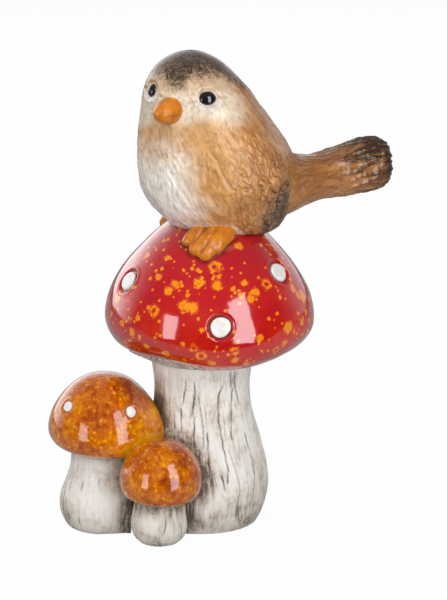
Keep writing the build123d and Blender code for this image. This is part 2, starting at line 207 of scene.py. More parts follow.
def faced_out(piece, merge=False):
    """Turns all faces of a piece outwards, after merging doubled points if asked."""
    picked(piece)
    bpy.ops.object.mode_set(mode="EDIT")
    bpy.ops.mesh.select_all(action="SELECT")
    if merge:
        bpy.ops.mesh.remove_doubles(threshold=merge_within)
    bpy.ops.mesh.normals_make_consistent(inside=False)
    bpy.ops.object.mode_set(mode="OBJECT")


def turned(name, profile, steps):
    """Piece spun from a half profile of (radius, height) points about the upright axis."""
    mesh = bpy.data.meshes.new(name)
    edges = [(i, i + 1) for i in range(len(profile) - 1)]
    mesh.from_pydata([(r * MM, 0, z * MM) for r, z in profile], edges, [])
    piece = bpy.data.objects.new(name, mesh)
    bpy.context.collection.objects.link(piece)
    picked(piece)
    wheel = piece.modifiers.new("wheel", "SCREW")
    wheel.axis = "Z"
    wheel.angle = 2 * math.pi
    wheel.steps = wheel.render_steps = steps
    wheel.use_merge_vertices = True
    wheel.merge_threshold = merge_within
    bpy.ops.object.modifier_apply(modifier="wheel")
    faced_out(piece, merge=True)
    bpy.ops.object.shade_smooth()
    return piece


def points_of(piece):
    """The piece's points in millimetres."""
    flat = np.empty(3 * len(piece.data.vertices))
    piece.data.vertices.foreach_get("co", flat)
    return flat.reshape(-1, 3) / MM


def set_points(piece, points):
    """Moves the piece's points, given in millimetres."""
    piece.data.vertices.foreach_set("co", (points * MM).ravel())
    piece.data.update()


def outwards_of(piece):
    """The direction that the skin faces at each point."""
    flat = np.empty(3 * len(piece.data.vertices))
    piece.data.vertex_normals.foreach_get("vector", flat)
    return flat.reshape(-1, 3)


def polar(points):
    """Distance of each point from the upright axis, and its angle round it."""
    return np.hypot(points[:, 0], points[:, 1]), np.arctan2(points[:, 1], points[:, 0])


def set_mask(piece, name, values):
    """Stores one value for each point, which a material reads by name."""
    layer = piece.data.attributes.new(name, "FLOAT", "POINT")
    layer.data.foreach_set("value", np.ascontiguousarray(values, dtype=np.float32))


def lumps(points, size, seed):
    """Soft random lumps of about a size, from -1 to 1."""
    places = points / size + np.array([7.3, 3.1, 5.7]) * seed
    return np.array([noise.noise(place) for place in places.tolist()])


def soft_step(value, low, high):
    """0 below low and 1 above high, with a soft change between them."""
    t = np.clip((value - low) / (high - low), 0, 1)
    return t * t * (3 - 2 * t)


def tree_of(points):
    """Search tree over points, by their numbers."""
    tree = kdtree.KDTree(len(points))
    for index, point in enumerate(points.tolist()):
        tree.insert(point, index)
    tree.balance()
    return tree


def carved(points, strokes, width):
    """How far each point lies in a groove, for strokes of (x, y, z, depth) points."""
    tree = tree_of(points)
    groove = [0.0] * len(points)
    for stroke in strokes:
        for x, y, z, depth in stroke:
            for _, index, away in tree.find_range((x, y, z), 2.2 * width):
                value = depth * math.exp(-((away / width) ** 2))
                if value > groove[index]:
                    groove[index] = value
    return np.array(groove)


def radius_at(skin, height):
    """Radius of a turned skin at a height, or at each of many."""
    order = np.argsort(skin[:, 1])
    return np.interp(height, skin[order, 1], skin[order, 0])


def down_strokes(chance, skin, count, top, foot, length, wander):
    """Grooves that run down a turned skin, each with its own length and wander."""
    strokes = []
    for _ in range(count):
        angle = chance.uniform(0, 2 * math.pi)
        height = chance.uniform(foot + 2, top)
        end = max(foot, height - chance.uniform(*length))
        depth = chance.uniform(0.35, 1.0)
        sway, phase = chance.uniform(0.3, 1.0) * wander, chance.uniform(0, 6)
        rows = np.arange(height, end, -0.4)
        stroke = []
        for row, at in enumerate(rows):
            radius = radius_at(skin, at)
            turn = angle + sway * math.sin(phase + at * 0.16) / radius
            fade = min(1, 0.25 + row / 6, 0.25 + (len(rows) - row) / 6)
            stroke.append((radius * math.cos(turn), radius * math.sin(turn), at, depth * fade))
        strokes.append(stroke)
    return strokes


def placed_crack(skin, places):
    """Crack that runs down a skin through chosen places of (azimuth, height)."""
    crack = []
    for start, end in zip(places, places[1:]):
        for azimuth, at in np.linspace(start, end, 36, endpoint=False):
            radius = radius_at(skin, at)
            turn = math.radians(azimuth) + 0.12 * math.sin(at * 1.3) / radius
            depth = 0.75 + 0.25 * math.sin(at * 0.8 + start[0])
            crack.append((radius * math.cos(turn), radius * math.sin(turn), at, depth))
    return crack


def stem_cast(
    name, skin_points, drain, hollow, row_step, around_step, seed, cracks, brush_lines, own_cracks=()
):
    """Cracked stem: a turned hollow form with its cracks, brush lines and lumps cut in."""
    skin = smooth_line(skin_points, row_step)
    neck, height = skin[0]
    top = [(0, height + 1.5), (neck - 2, height + 1.5)]
    sole = [(r, 0) for r in np.linspace(skin[-1][0], drain, 6)[1:-1]]
    inside = [(drain, 0), (drain, 3.5), *hollow]
    steps = round(2 * math.pi * skin[:, 0].max() / around_step)
    piece = turned(name, [*top, *skin.tolist(), *sole, *inside], steps)
    points = points_of(piece)
    outer = polar(points)[0] > radius_at(skin, points[:, 2]) - 0.3
    outer &= points[:, 2] > 0.05
    chance = random.Random(seed)
    strokes = down_strokes(chance, skin, cracks, height, 3, (0.10 * height, 0.42 * height), 2.2)
    strokes += [placed_crack(skin, places) for places in own_cracks]
    crack = carved(points, strokes, crack_width)
    brush = carved(points, down_strokes(chance, skin, brush_lines, height, 1, (3, 15), 1.2), brush_width)
    swell = 0.40 * lumps(points * (1, 1, 0.35), 7, seed) + 0.20 * lumps(points * (1, 1, 0.2), 2.6, seed + 1)
    rough = 0.07 * lumps(points, 1.1, seed + 2)
    move = np.where(outer, swell + rough - crack_depth * crack - brush_depth * brush, 0)
    move *= np.clip(points[:, 2] / 3, 0, 1)
    set_points(piece, points + outwards_of(piece) * move[:, None])
    set_mask(piece, "crack", np.where(outer, crack, 0))
    set_mask(piece, "brush", np.where(outer, brush, 0))
    set_mask(piece, "hollow", np.clip(-swell * 1.6, 0, 1))
    return piece


large_stem = stem_cast(
    "large_stem_cast",
    skin_points=[
        (18.7, 61.8), (17.9, 57), (17.4, 51.5), (18.5, 41), (21.2, 31), (23.8, 20), (24.3, 13.5),
        (22.8, 5.5), (20.2, 0),
    ],
    drain=7.0,
    hollow=[(13, 8), (19.5, 15), (17, 32), (12.5, 50), (0, 58)],
    row_step=0.50,
    around_step=0.29,
    seed=3,
    cracks=34,
    brush_lines=520,
    own_cracks=[
        [(-65, 55), (-70, 50), (-70, 42), (-68, 33), (-65, 24), (-67, 20)],
        [(-46, 59), (-51, 52), (-53, 45), (-57, 35)],
        [(-99, 44), (-99, 38), (-98, 33)],
        [(-84, 38), (-84, 32), (-83, 23)],
        [(-116, 46), (-113, 38)],
        [(-124, 44), (-122, 39)],
        [(-38, 36), (-35, 27), (-36, 21)],
        [(-72, 23), (-69, 17)],
        [(-109, 57), (-114, 48)],
        [(-100, 52), (-101, 44)],
    ],
)


def stored(tree, name, output="Fac"):
    """Values that a piece holds at its points under a name."""
    return add_node(tree, "ShaderNodeAttribute", attribute_name=name).outputs[output]


def clouds(tree, place, scale, detail=2.0, **more):
    """Soft random pattern, from 0 to 1."""
    inputs = {"Vector": place, "Scale": scale, "Detail": detail, **more}
    return add_node(tree, "ShaderNodeTexNoise", inputs).outputs["Fac"]


def shade_stem(tree, here):
    """White slip with brown wash in cracks and brush lines, darker low down, and joint wash with painted
    shade where stems meet and under the small caps.
    """
    crack, brush, hollow, corner = (stored(tree, name) for name in ("crack", "brush", "hollow", "corner"))
    drawn = add_node(tree, "ShaderNodeMapping", {"Vector": here, "Scale": (900, 900, 110)}).outputs[0]
    streak = clouds(tree, drawn, 1.0, 4.0)
    patch = clouds(tree, here, 75.0, 3.0)
    grain = clouds(tree, here, 1500.0)
    smear = clouds(tree, here, 230.0, 4.0, Roughness=0.6)
    worn = calc(tree, "MULTIPLY", calc(tree, "SUBTRACT", patch, 0.45), 3.2, clamp=True)
    lines = calc(tree, "MULTIPLY", calc(tree, "SUBTRACT", streak, 0.48), 3.4, clamp=True)
    # Darker towards the bottom of each stem.
    height = add_node(tree, "ShaderNodeSeparateXYZ", {0: here}).outputs["Z"]
    low = ramp(tree, calc(tree, "MULTIPLY", height, 40.0), (0.0, grey(0.42)), (1.0, grey(0.0)))
    low = calc(tree, "MULTIPLY", low, patch)
    wash = calc(tree, "MULTIPLY", lines, calc(tree, "MULTIPLY_ADD", worn, 0.60, 0.05))
    for where, strength in (
        (worn, calc(tree, "MULTIPLY_ADD", grain, 0.5, -0.14)),
        (brush, calc(tree, "MULTIPLY_ADD", worn, 0.45, 0.12)),
        (hollow, 0.22),
        (low, calc(tree, "MULTIPLY_ADD", streak, 1.6, 0.2)),
    ):
        wash = calc(tree, "ADD", wash, calc(tree, "MULTIPLY", where, strength))
    wash = calc(tree, "ADD", wash, ramp(tree, smear, (0.50, grey(0.0)), (0.72, grey(0.30))))
    speckled = calc(tree, "MULTIPLY_ADD", grain, 1.2, -0.60)
    # Darkening near the other pieces from the corner mask: wash left in the joints and painted shade between
    # the stems and under the small caps.
    joint_wash_and_shade = calc(tree, "MULTIPLY_ADD", streak, 1.8, speckled)
    joint_wash_and_shade = calc(tree, "MULTIPLY", corner, joint_wash_and_shade, clamp=True)
    wash = calc(tree, "MULTIPLY_ADD", joint_wash_and_shade, 1.1, wash, clamp=True)
    dark = calc(tree, "MULTIPLY", crack, calc(tree, "MULTIPLY_ADD", grain, 1.1, 0.45), clamp=True)
    thin = ramp(
        tree,
        wash,
        (0.0, (0.83, 0.80, 0.76)),
        (0.3, (0.63, 0.57, 0.50)),
        (0.65, (0.34, 0.275, 0.22)),
        (1.0, (0.12, 0.095, 0.075)),
    )
    bump = add_node(tree, "ShaderNodeBump", {"Height": grain, "Strength": 0.12, "Distance": 0.0003})
    return {
        "Base Color": mixed(tree, dark, thin, (0.032, 0.021, 0.014, 1)),
        "Normal": bump.outputs[0],
        "Roughness": calc(tree, "MULTIPLY_ADD", wash, 0.18, 0.46),
        "Specular IOR Level": 0.4,
    }


def new_material(name, shade):
    """Material with one Principled shader, whose inputs a shading function gives."""
    material = bpy.data.materials.new(name)
    material.use_nodes = True
    tree = material.node_tree
    here = add_node(tree, "ShaderNodeTexCoord").outputs["Object"]
    fill(tree, tree.nodes["Principled BSDF"], shade(tree, here))
    return material


def fitted(piece, material, node):
    """Gives a piece its finish and sets it in the frame in place of its solid."""
    piece.data.materials.append(material)
    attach(piece, "root")
    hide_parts(node)


stem_slip = new_material("stem_slip_and_wash", shade_stem)
fitted(large_stem, stem_slip, "main_stem")

# Gill ring of the large mushroom: a white tapered plug between stem and cap, with gills scored
# into it from the stem outwards, and dark wash in the scores. It sits a little askew.
large_at = (0.0, 0.0, 2.0)
gill_tilt = 0.06
gill_width, gill_depth = 0.42, 0.55


def bell(value, width):
    """1 at nought, falling softly to nothing over about two widths on either side."""
    return np.exp(-((value / width) ** 2))


def off_angle(angle, middle):
    """How far angles lie from a middle one, whichever way round is shorter."""
    return np.abs((angle - middle + math.pi) % (2 * math.pi) - math.pi)


def stood(points, x, y, lean):
    """Points of an upright form, leaned to the right and stood at a place on the ground."""
    c, s = math.cos(math.radians(lean)), math.sin(math.radians(lean))
    return points @ np.array([[c, 0, -s], [0, 1, 0], [s, 0, c]]) + np.array([x, y, 0])


def stand(piece, x, y, lean):
    """Leans a piece, stands it at its place and grinds off what is below the ground."""
    points = stood(points_of(piece), x, y, lean)
    points[:, 2] = np.maximum(points[:, 2], 0)
    set_points(piece, points)


def gill_cast(name, neck, neck_height, rim, rim_height, count, seed):
    """Turned cone with scored gills, still upright."""
    base, top = neck_height - 0.8, rim_height + 2.5
    rows = smooth_line([(neck - 1.5, base), (neck + 0.4, neck_height + 0.2), (rim, rim_height)], 0.5)
    piece = turned(name, [(0, base), *rows.tolist(), (rim - 1, top), (0, top)], count * 8)
    points = points_of(piece)
    out, angle = polar(points)
    chance = random.Random(seed)
    score = np.zeros(len(points))
    for gill in range(count):
        at = (gill + chance.uniform(-0.35, 0.35)) * 2 * math.pi / count
        score = np.maximum(score, chance.uniform(0.35, 1.0) * bell(off_angle(angle, at) * out, gill_width))
    score *= soft_step(out, neck - 1.2, neck + 0.6) * (points[:, 2] < rim_height + 0.3)
    set_points(piece, points - outwards_of(piece) * (gill_depth * score)[:, None])
    set_mask(piece, "crack", score)
    set_mask(piece, "brush", score)
    set_mask(piece, "hollow", soft_step(lumps(points, 6, seed), 0.0, 0.6) * 0.8)
    return piece


large_gills = gill_cast(
    "large_gill_ring", neck=18.0, neck_height=60.2, rim=29.7, rim_height=66.2, count=76, seed=11
)
points = points_of(large_gills)
points[:, 2] += gill_tilt * (points[:, 0] - np.minimum(points[:, 1], 0))
set_points(large_gills, points)
stand(large_gills, *large_at)
fitted(large_gills, stem_slip, "main_gills")

# Large cap: a hollow cast dome on the gill ring, with round recesses for its dots. It is dipped in
# a thick crimson gloss glaze that breaks into yellow flecks and rings and pools dark in the hollows.
large_widest = 78.5
large_skin = smooth_line(
    [
        (30.6, 66.1), (34.6, 69.0), (37.6, 74.2), (38.1, 79.5), (36.2, 87), (32.0, 94.8), (26.0, 102.4),
        (18.6, 109.8), (10.2, 116.2), (0, 119.6),
    ],
    0.5,
)


def on_skin(skin, height, azimuth):
    """Place and outward direction on a turned skin at a height and an azimuth."""
    radius = radius_at(skin, height)
    slope = radius_at(skin, height + 0.5) - radius_at(skin, height - 0.5)
    turn = math.radians(azimuth)
    out = np.array([math.cos(turn), math.sin(turn), -slope])
    place = np.array([radius * math.cos(turn), radius * math.sin(turn), height])
    return place, out / np.linalg.norm(out)


def cap_cast(name, skin, mouth, mouth_height, step, seed, waves, dots=(), dot_ring=0.0, dot_depth=0.0):
    """Turned dome with ringed recesses, still upright."""
    inside = [(0, mouth_height), (mouth - 2, mouth_height), (mouth - 0.6, skin[0][1] + 0.5)]
    steps = round(2 * math.pi * skin[:, 0].max() / step)
    piece = turned(name, [*inside, *skin.tolist()], steps)
    points = points_of(piece)
    outer = (polar(points)[0] > mouth - 0.3) | (points[:, 2] > mouth_height + 1)
    move = waves * lumps(points, 13, seed) + 0.35 * waves * lumps(points, 5, seed + 1)
    pool = np.zeros(len(points))
    for place, facing in dots:
        away = points - place
        far = np.linalg.norm(away - np.outer(away @ facing, facing), axis=1)
        near = np.linalg.norm(away, axis=1) < 3 * dot_ring
        sunk = 1 - soft_step(far, dot_ring - 0.55, dot_ring + 0.35)
        lip = bell(far - dot_ring - 0.75, 0.6)
        move += near * (0.22 * lip - dot_depth * sunk)
        pool = np.maximum(pool, near * sunk)
    set_points(piece, points + outwards_of(piece) * np.where(outer, move, 0)[:, None])
    set_mask(piece, "pool", pool)
    return piece


def flecks_on(points, spots, ragged, seed):
    """Height of glaze flecks: over 1 in the middle, 0.6 at the edge, and hollow for a ring."""
    tree = tree_of(points)
    fleck = [0.0] * len(points)
    for place, radius, ring in spots:
        for _, index, away in tree.find_range(place, 2 * radius):
            value = 1.25 * (1 - 0.5 * away / radius)
            if ring and away < 0.62 * radius:
                value = 0.40 + 0.9 * (away / radius) ** 2
            if value > fleck[index]:
                fleck[index] = value
    fleck = np.array(fleck)
    return np.clip(fleck + ragged * lumps(points, 1.5, seed) * (fleck > 0.05), 0, 2)


large_dots = [(4.7, -84), (14.6, -154), (20.2, -34), (5.0, 25), (18.0, 85), (5.0, 150)]
dot_places = [on_skin(large_skin, large_widest + lift, azimuth) for lift, azimuth in large_dots]
large_cap = cap_cast(
    "large_cap_cast",
    large_skin,
    mouth=30.0,
    mouth_height=71.0,
    step=0.52,
    dots=dot_places,
    dot_ring=4.75,
    dot_depth=0.95,
    seed=21,
    waves=0.16,
)
points = points_of(large_cap)
azimuth = np.degrees(polar(points)[1])
rim_height = large_skin[0][1]
rise = 1.6 * soft_step(azimuth, -72, -15) * (1 - soft_step(azimuth, 90, 160))
rise += 1.5 * bell(azimuth + 122, 22) - 0.9 * bell(azimuth + 84, 20)
points[:, 2] += rise * (1 - soft_step(points[:, 2], rim_height + 2, rim_height + 14))
set_points(large_cap, points)

large_flecks = [
    (102.2, -87, 2.2, True), (97.2, -98, 1.9, True), (96.6, -86, 1.7, False), (89.8, -105, 2.1, False),
    (89.4, -100, 1.8, False), (86.5, -123, 2.0, True), (96.1, -51, 1.9, True), (94.2, -61, 1.5, False),
    (92.1, -65, 1.5, False), (80.7, -42, 2.0, False), (96.1, -114, 1.4, False), (93.7, -117, 1.6, False),
    (97.3, -128, 1.4, False), (76.7, -136, 1.4, False), (75.2, -98, 1.4, True), (72.4, -94, 1.9, True),
    (74.6, -76, 1.5, True), (71.0, -75, 1.4, False), (73.1, -50, 1.5, True), (74.8, -45, 1.5, True),
    (78.8, -62, 1.3, False), (83.0, -133, 1.1, False), (79.3, -145, 1.3, False), (71.2, -115, 1.5, False),
    (72.9, -127, 1.3, False), (76.4, -104, 0.9, False), (82.1, -94, 0.9, False), (103.2, -129, 1.1, False),
    (68.4, -67, 1.5, False), (92.5, -28, 1.5, False), (89.9, -26, 1.3, False), (80.8, -29, 1.1, False),
    (108.1, -63, 1.5, False), (93.3, -71, 1.1, False), (97.2, -67, 1.1, False), (69.5, -88, 1.4, False),
]
front_from, front_to = 215, 335
scattered_flecks, front_specks = 620, 100
chance = random.Random(5)
spots = [(on_skin(large_skin, at, azimuth)[0], radius, ring) for at, azimuth, radius, ring in large_flecks]
for _ in range(scattered_flecks):
    at, azimuth = chance.uniform(66.8, 112), chance.uniform(0, 360)
    place = on_skin(large_skin, at, azimuth)[0]
    radius = 0.55 + 1.5 * chance.random() ** 3
    ring = chance.random() < 0.3
    if front_from < azimuth < front_to and radius > 0.85:
        continue
    if noise.noise(Vector(place) / 15) > -0.05:
        spots.append((place, radius, ring and radius > 1.1))
for _ in range(front_specks):
    at, azimuth = chance.uniform(67.5, 104), chance.uniform(front_from, front_to)
    spots.append((on_skin(large_skin, at, azimuth)[0], chance.uniform(0.34, 0.72), False))
set_mask(large_cap, "fleck", flecks_on(points_of(large_cap), spots, ragged=0.35, seed=4))


def glaze_ripple():
    """Shader group for the slow ripple of a glossy coat, given out as a normal."""
    group = bpy.data.node_groups.new("glaze_ripple", "ShaderNodeTree")
    for name, kind in (("Place", "Vector"), ("Scale", "Float"), ("Strength", "Float")):
        group.interface.new_socket(name, in_out="INPUT", socket_type=f"NodeSocket{kind}")
    group.interface.new_socket("Normal", in_out="OUTPUT", socket_type="NodeSocketVector")
    given = add_node(group, "NodeGroupInput").outputs
    wave = clouds(group, given["Place"], given["Scale"])
    inputs = {"Height": wave, "Strength": given["Strength"], "Distance": 0.0003}
    bump = add_node(group, "ShaderNodeBump", inputs)
    add_node(group, "NodeGroupOutput", {"Normal": bump.outputs[0]})
    return group


ripples = glaze_ripple()


def rippled(tree, here, scale, strength):
    """Normal of a coat with the slow ripple of a glaze."""
    inputs = {"Place": here, "Scale": scale, "Strength": strength}
    return add_node(tree, "ShaderNodeGroup", inputs, node_tree=ripples).outputs[0]


def shade_red_glaze(tree, here):
    """Crimson gloss glaze: scarlet where thin, dark where it pools, yellow flecks and rings, painted shade
    round the feet and body.
    """
    fleck, pool, corner = (stored(tree, name) for name in ("fleck", "pool", "corner"))
    cloud = clouds(tree, here, 75.0, 4.0)
    curl = clouds(tree, here, 1500.0, 4.0)
    red = ramp(
        tree, cloud, (0.32, (0.58, 0.022, 0.002)), (0.48, (0.52, 0.009, 0.004)), (0.68, (0.44, 0.005, 0.014))
    )
    height = add_node(tree, "ShaderNodeSeparateXYZ", {0: here}).outputs["Z"]
    high = ramp(tree, calc(tree, "MULTIPLY", height, 8.0), (0.66, grey(0.0)), (0.80, grey(0.75)))
    red = mixed(tree, high, red, (0.46, 0.004, 0.012, 1))
    specks = add_node(tree, "ShaderNodeTexVoronoi", {"Vector": here, "Scale": 400.0}).outputs
    tiny = ramp(tree, specks["Distance"], (0.10, grey(1.0)), (0.30, grey(0.0)))
    some = ramp(tree, specks["Color"], (0.50, grey(0.0)), (0.70, grey(1.0)))
    where = ramp(tree, cloud, (0.40, grey(1.0)), (0.60, grey(0.15)))
    tiny = calc(tree, "MULTIPLY", calc(tree, "MULTIPLY", tiny, some), where)
    edge = calc(tree, "MAXIMUM", fleck, tiny)
    edge = calc(tree, "ADD", edge, calc(tree, "SUBTRACT", curl, 0.5))
    shown = ramp(tree, edge, (0.40, grey(0.0)), (0.74, grey(1.0)))
    gold = ramp(
        tree,
        calc(tree, "MULTIPLY", edge, 0.7),
        (0.32, (0.66, 0.050, 0.003)),
        (0.46, (0.82, 0.18, 0.002)),
        (0.62, (0.87, 0.32, 0.003)),
        (0.82, (0.80, 0.20, 0.003)),
    )
    # Dark where the glaze pools in the dot recesses, and painted shade round the bird's feet and body.
    pool_and_shade = calc(tree, "MAXIMUM", calc(tree, "MULTIPLY", pool, 0.62), corner)
    return {
        "Base Color": mixed(tree, pool_and_shade, mixed(tree, shown, red, gold), (0.15, 0.002, 0.004, 1)),
        "Normal": rippled(tree, here, 420.0, 0.09),
        "Roughness": calc(tree, "MULTIPLY_ADD", curl, 0.10, 0.08),
        "IOR": 1.5,
        "Coat Weight": 1.0,
        "Coat Roughness": 0.05,
        "Coat IOR": 1.6,
    }


stand(large_cap, *large_at)
fitted(large_cap, new_material("red_fleck_glaze", shade_red_glaze), "main_cap")

# Dots of the large cap: flat buttons of white clay, pressed into the recesses after the red glaze
# and covered in a clear one.


def dots_cast(name, places, radius, depth, proud, seed):
    """Group of slightly uneven domed buttons, still upright."""
    chance = random.Random(seed)
    dome = smooth_line(
        [(0, proud), (radius * 0.6, proud * 0.86), (radius * 0.93, proud * 0.35), (radius, -0.25)], 0.3
    )
    buttons = []
    for number, (place, facing) in enumerate(places):
        button = turned(f"{name}_{number}", [*dome.tolist(), (radius, -depth), (0, -depth)], 72)
        points = points_of(button)
        angle = polar(points)[1]
        swell = 1 + 0.03 * np.sin(2 * angle + chance.uniform(0, 6))
        swell += 0.02 * np.sin(3 * angle + chance.uniform(0, 6))
        points[:, :2] *= swell[:, None]
        points[:, 2] += 0.06 * lumps(points + number * 40, 2.5, seed)
        turn = np.array(Vector(facing).to_track_quat("Z", "Y").to_matrix())
        set_points(button, points @ turn.T + place)
        buttons.append(button)
    picked(*buttons)
    bpy.ops.object.join()
    buttons[0].name = name
    return buttons[0]


def shade_white_dot(tree, here):
    """White clay under clear glaze, a little uneven in tone."""
    cloud = clouds(tree, here, 500.0, 3.0)
    return {
        "Base Color": ramp(tree, cloud, (0.35, (0.73, 0.705, 0.67)), (0.62, (0.83, 0.82, 0.80))),
        "Roughness": calc(tree, "MULTIPLY_ADD", cloud, 0.2, 0.22),
        "Coat Weight": 0.4,
        "Coat Roughness": 0.12,
    }


dot_white = new_material("white_dot_glaze", shade_white_dot)
large_cap_dots = dots_cast("large_cap_buttons", dot_places, radius=3.6, depth=1.1, proud=0.35, seed=31)
stand(large_cap_dots, *large_at)
fitted(large_cap_dots, dot_white, "main_cap_dots")

# Left mushroom: a small cast stem, gill ring and cap, luted to the side of the large stem. The cap
# has a mottled amber gloss glaze and small white dots.
left_at = (-38.3, -9.0, 4.0)
left_widest = 37.1
left_stem = stem_cast(
    "left_stem_cast",
    skin_points=[
        (11.5, 28.6), (11.6, 22.5), (13.4, 16.0), (14.8, 10.5), (14.2, 5.0), (12.2, 1.0), (11.2, 0)
    ],
    drain=3.0,
    hollow=[(8, 7), (11, 11), (8.5, 22), (0, 26)],
    row_step=0.45,
    around_step=0.28,
    seed=41,
    cracks=20,
    brush_lines=230,
)
left_gills = gill_cast(
    "left_gill_ring", neck=11.2, neck_height=28.2, rim=15.3, rim_height=30.6, count=56, seed=42
)
left_skin = smooth_line(
    [
        (15.9, 30.4), (18.2, 31.8), (20.0, 34.4), (20.4, 37.4), (19.6, 42.2), (17.3, 47.4), (13.6, 52.2),
        (7.6, 56.6), (0, 58.0),
    ],
    0.4,
)
left_dots = [(10.6, -142), (11.2, -55), (11.0, 120)]
left_dot_places = [on_skin(left_skin, left_widest + lift, azimuth) for lift, azimuth in left_dots]
left_cap = cap_cast(
    "left_cap_cast",
    left_skin,
    mouth=15.5,
    mouth_height=33.6,
    step=0.42,
    dots=left_dot_places,
    dot_ring=2.45,
    dot_depth=0.55,
    seed=43,
    waves=0.14,
)
left_cap_dots = dots_cast("left_cap_buttons", left_dot_places, radius=2.0, depth=0.9, proud=0.3, seed=44)


def shade_amber_glaze(tree, here):
    """Amber gloss glaze, clouded from brown to gold and speckled, yellow where it runs thin."""
    corner, pool = stored(tree, "corner"), stored(tree, "pool")
    warp = clouds(tree, here, 420.0, 6.0, Roughness=0.75, Distortion=0.3)
    cloud = clouds(tree, here, 85.0)
    cells = add_node(tree, "ShaderNodeTexVoronoi", {"Vector": here, "Scale": 560.0}).outputs
    speck = ramp(tree, cells["Distance"], (0.14, grey(1.0)), (0.44, grey(0.0)))
    kept = ramp(tree, cells["Color"], (0.40, grey(0.0)), (0.62, grey(1.0)))
    tone = calc(tree, "ADD", calc(tree, "MULTIPLY", warp, 0.72), calc(tree, "MULTIPLY", cloud, 0.46))
    tone = calc(tree, "MULTIPLY_ADD", calc(tree, "MULTIPLY", speck, kept), 0.17, tone)
    amber = ramp(
        tree,
        tone,
        (0.46, (0.24, 0.034, 0.001)),
        (0.55, (0.42, 0.080, 0.001)),
        (0.63, (0.56, 0.145, 0.001)),
        (0.73, (0.69, 0.265, 0.002)),
        (0.88, (0.80, 0.42, 0.006)),
    )
    thin = calc(tree, "MULTIPLY", corner, calc(tree, "MULTIPLY", warp, 1.5), clamp=True)
    colour = mixed(tree, thin, amber, (0.72, 0.37, 0.006, 1))
    return {
        "Base Color": mixed(tree, calc(tree, "MULTIPLY", pool, 0.6), colour, (0.22, 0.045, 0.004, 1)),
        "Normal": rippled(tree, here, 480.0, 0.09),
        "Roughness": calc(tree, "MULTIPLY_ADD", warp, 0.10, 0.08),
        "IOR": 1.4,
        "Coat Weight": 1.0,
        "Coat Roughness": 0.06,
        "Coat IOR": 1.45,
    }


amber_glaze = new_material("amber_mottled_glaze", shade_amber_glaze)
for piece, material, node, slot in (
    (left_stem, stem_slip, "left_stem", "stem_wash"),
    (left_gills, stem_slip, "left_gills", "gill_wash"),
    (left_cap, amber_glaze, "left_cap", "amber_glaze"),
    (left_cap_dots, dot_white, "left_cap_dots", "white_dot"),
):
    stand(piece, *left_at)
    fitted(piece, material, node)

# Front mushroom: the smallest, cast and glazed in the same way, luted into the corner between the
# large stem and the left mushroom. Its cap has no dots.
front_at = (-15.8, -26.5, 2.5)
front_stem = stem_cast(
    "front_stem_cast",
    skin_points=[(9.2, 15.4), (9.6, 11.5), (10.3, 7.5), (10.2, 5.0), (8.8, 1.8), (7.0, 0)],
    drain=2.5,
    hollow=[(5, 5), (7.4, 8), (6, 13), (0, 14)],
    row_step=0.40,
    around_step=0.26,
    seed=51,
    cracks=14,
    brush_lines=150,
)
front_gills = gill_cast(
    "front_gill_ring", neck=9.0, neck_height=15.0, rim=10.9, rim_height=16.6, count=44, seed=52
)
front_skin = smooth_line(
    [
        (11.3, 16.4), (13.2, 17.8), (14.6, 20.4), (15.0, 23.5), (14.4, 27.6), (12.6, 31.6), (9.6, 35.2),
        (5.2, 37.5), (0, 38.1),
    ],
    0.36,
)
front_cap = cap_cast(
    "front_cap_cast", front_skin, mouth=11.0, mouth_height=19.4, step=0.38, seed=53, waves=0.12
)
for piece, material, node, slot in (
    (front_stem, stem_slip, "front_stem", "stem_wash"),
    (front_gills, stem_slip, "front_gills", "gill_wash"),
    (front_cap, amber_glaze, "front_cap", "amber_glaze"),
):
    stand(piece, *front_at)
    fitted(piece, material, node)

# Joints between the mushrooms: slip is smoothed into the corners where the stems meet, and the left
# cap is drawn out to the large stem. The stems are darker in the corners and under the small caps, partly
# wash left in the joints and partly painted shade, and the glaze runs thin there.
left_front_corner = (-25.6, -19.6)
front_large_corner = (-11.6, -19.6)
left_large_corner = (-24.0, -5.6)


def luted(piece, middle, corner, top):
    """Draws a stem's side out to the corner line between two stems, as slip smoothed into the joint."""
    points = points_of(piece)
    to_corner = np.array(corner) - np.array(middle)
    out, angle = polar(points - (*middle, 0))
    turn = off_angle(angle, math.atan2(to_corner[1], to_corner[0]))
    share = 0.9 * bell(turn, math.radians(24)) * (1 - soft_step(points[:, 2], 0.6 * top, top))
    share = np.where((out < np.linalg.norm(to_corner)) & (out > 6), share, 0)
    points[:, :2] += share[:, None] * (np.array(corner) - points[:, :2])
    set_points(piece, points)


for piece, at, corner, top in (
    (left_stem, left_at, left_front_corner, 27),
    (front_stem, front_at, left_front_corner, 16),
    (large_stem, large_at, front_large_corner, 9),
    (front_stem, front_at, front_large_corner, 9),
    (left_stem, left_at, left_large_corner, 14),
    (large_stem, large_at, left_large_corner, 14),
):
    luted(piece, at[:2], corner, top)


def pushed(points, centre, reach, move):
    """Points moved as by a thumb: most at the centre, none beyond reach."""
    away = np.linalg.norm(points - np.array(centre), axis=1) / reach
    return points + (np.clip(1 - away**2, 0, 1) ** 2)[:, None] * np.array(move)


points = pushed(points_of(left_cap), (-18.5, -12, 44), 8, (1.6, 0.3, -0.6))
points = pushed(points, (-16.5, -15, 36), 9, (2.4, 0.4, 0.0))
set_points(left_cap, points)


def near_to(piece, others, reach):
    """How close each point of a piece is to other pieces: 1 where they touch, 0 beyond reach."""
    points = points_of(piece)
    close = np.zeros(len(points))
    for other in others:
        there = points_of(other)
        low, high = there.min(axis=0) - reach, there.max(axis=0) + reach
        tree = tree_of(there)
        for index in np.flatnonzero(((points > low) & (points < high)).all(axis=1)).tolist():
            away = tree.find(points[index])[2]
            close[index] = max(close[index], 1 - away / reach)
    return close


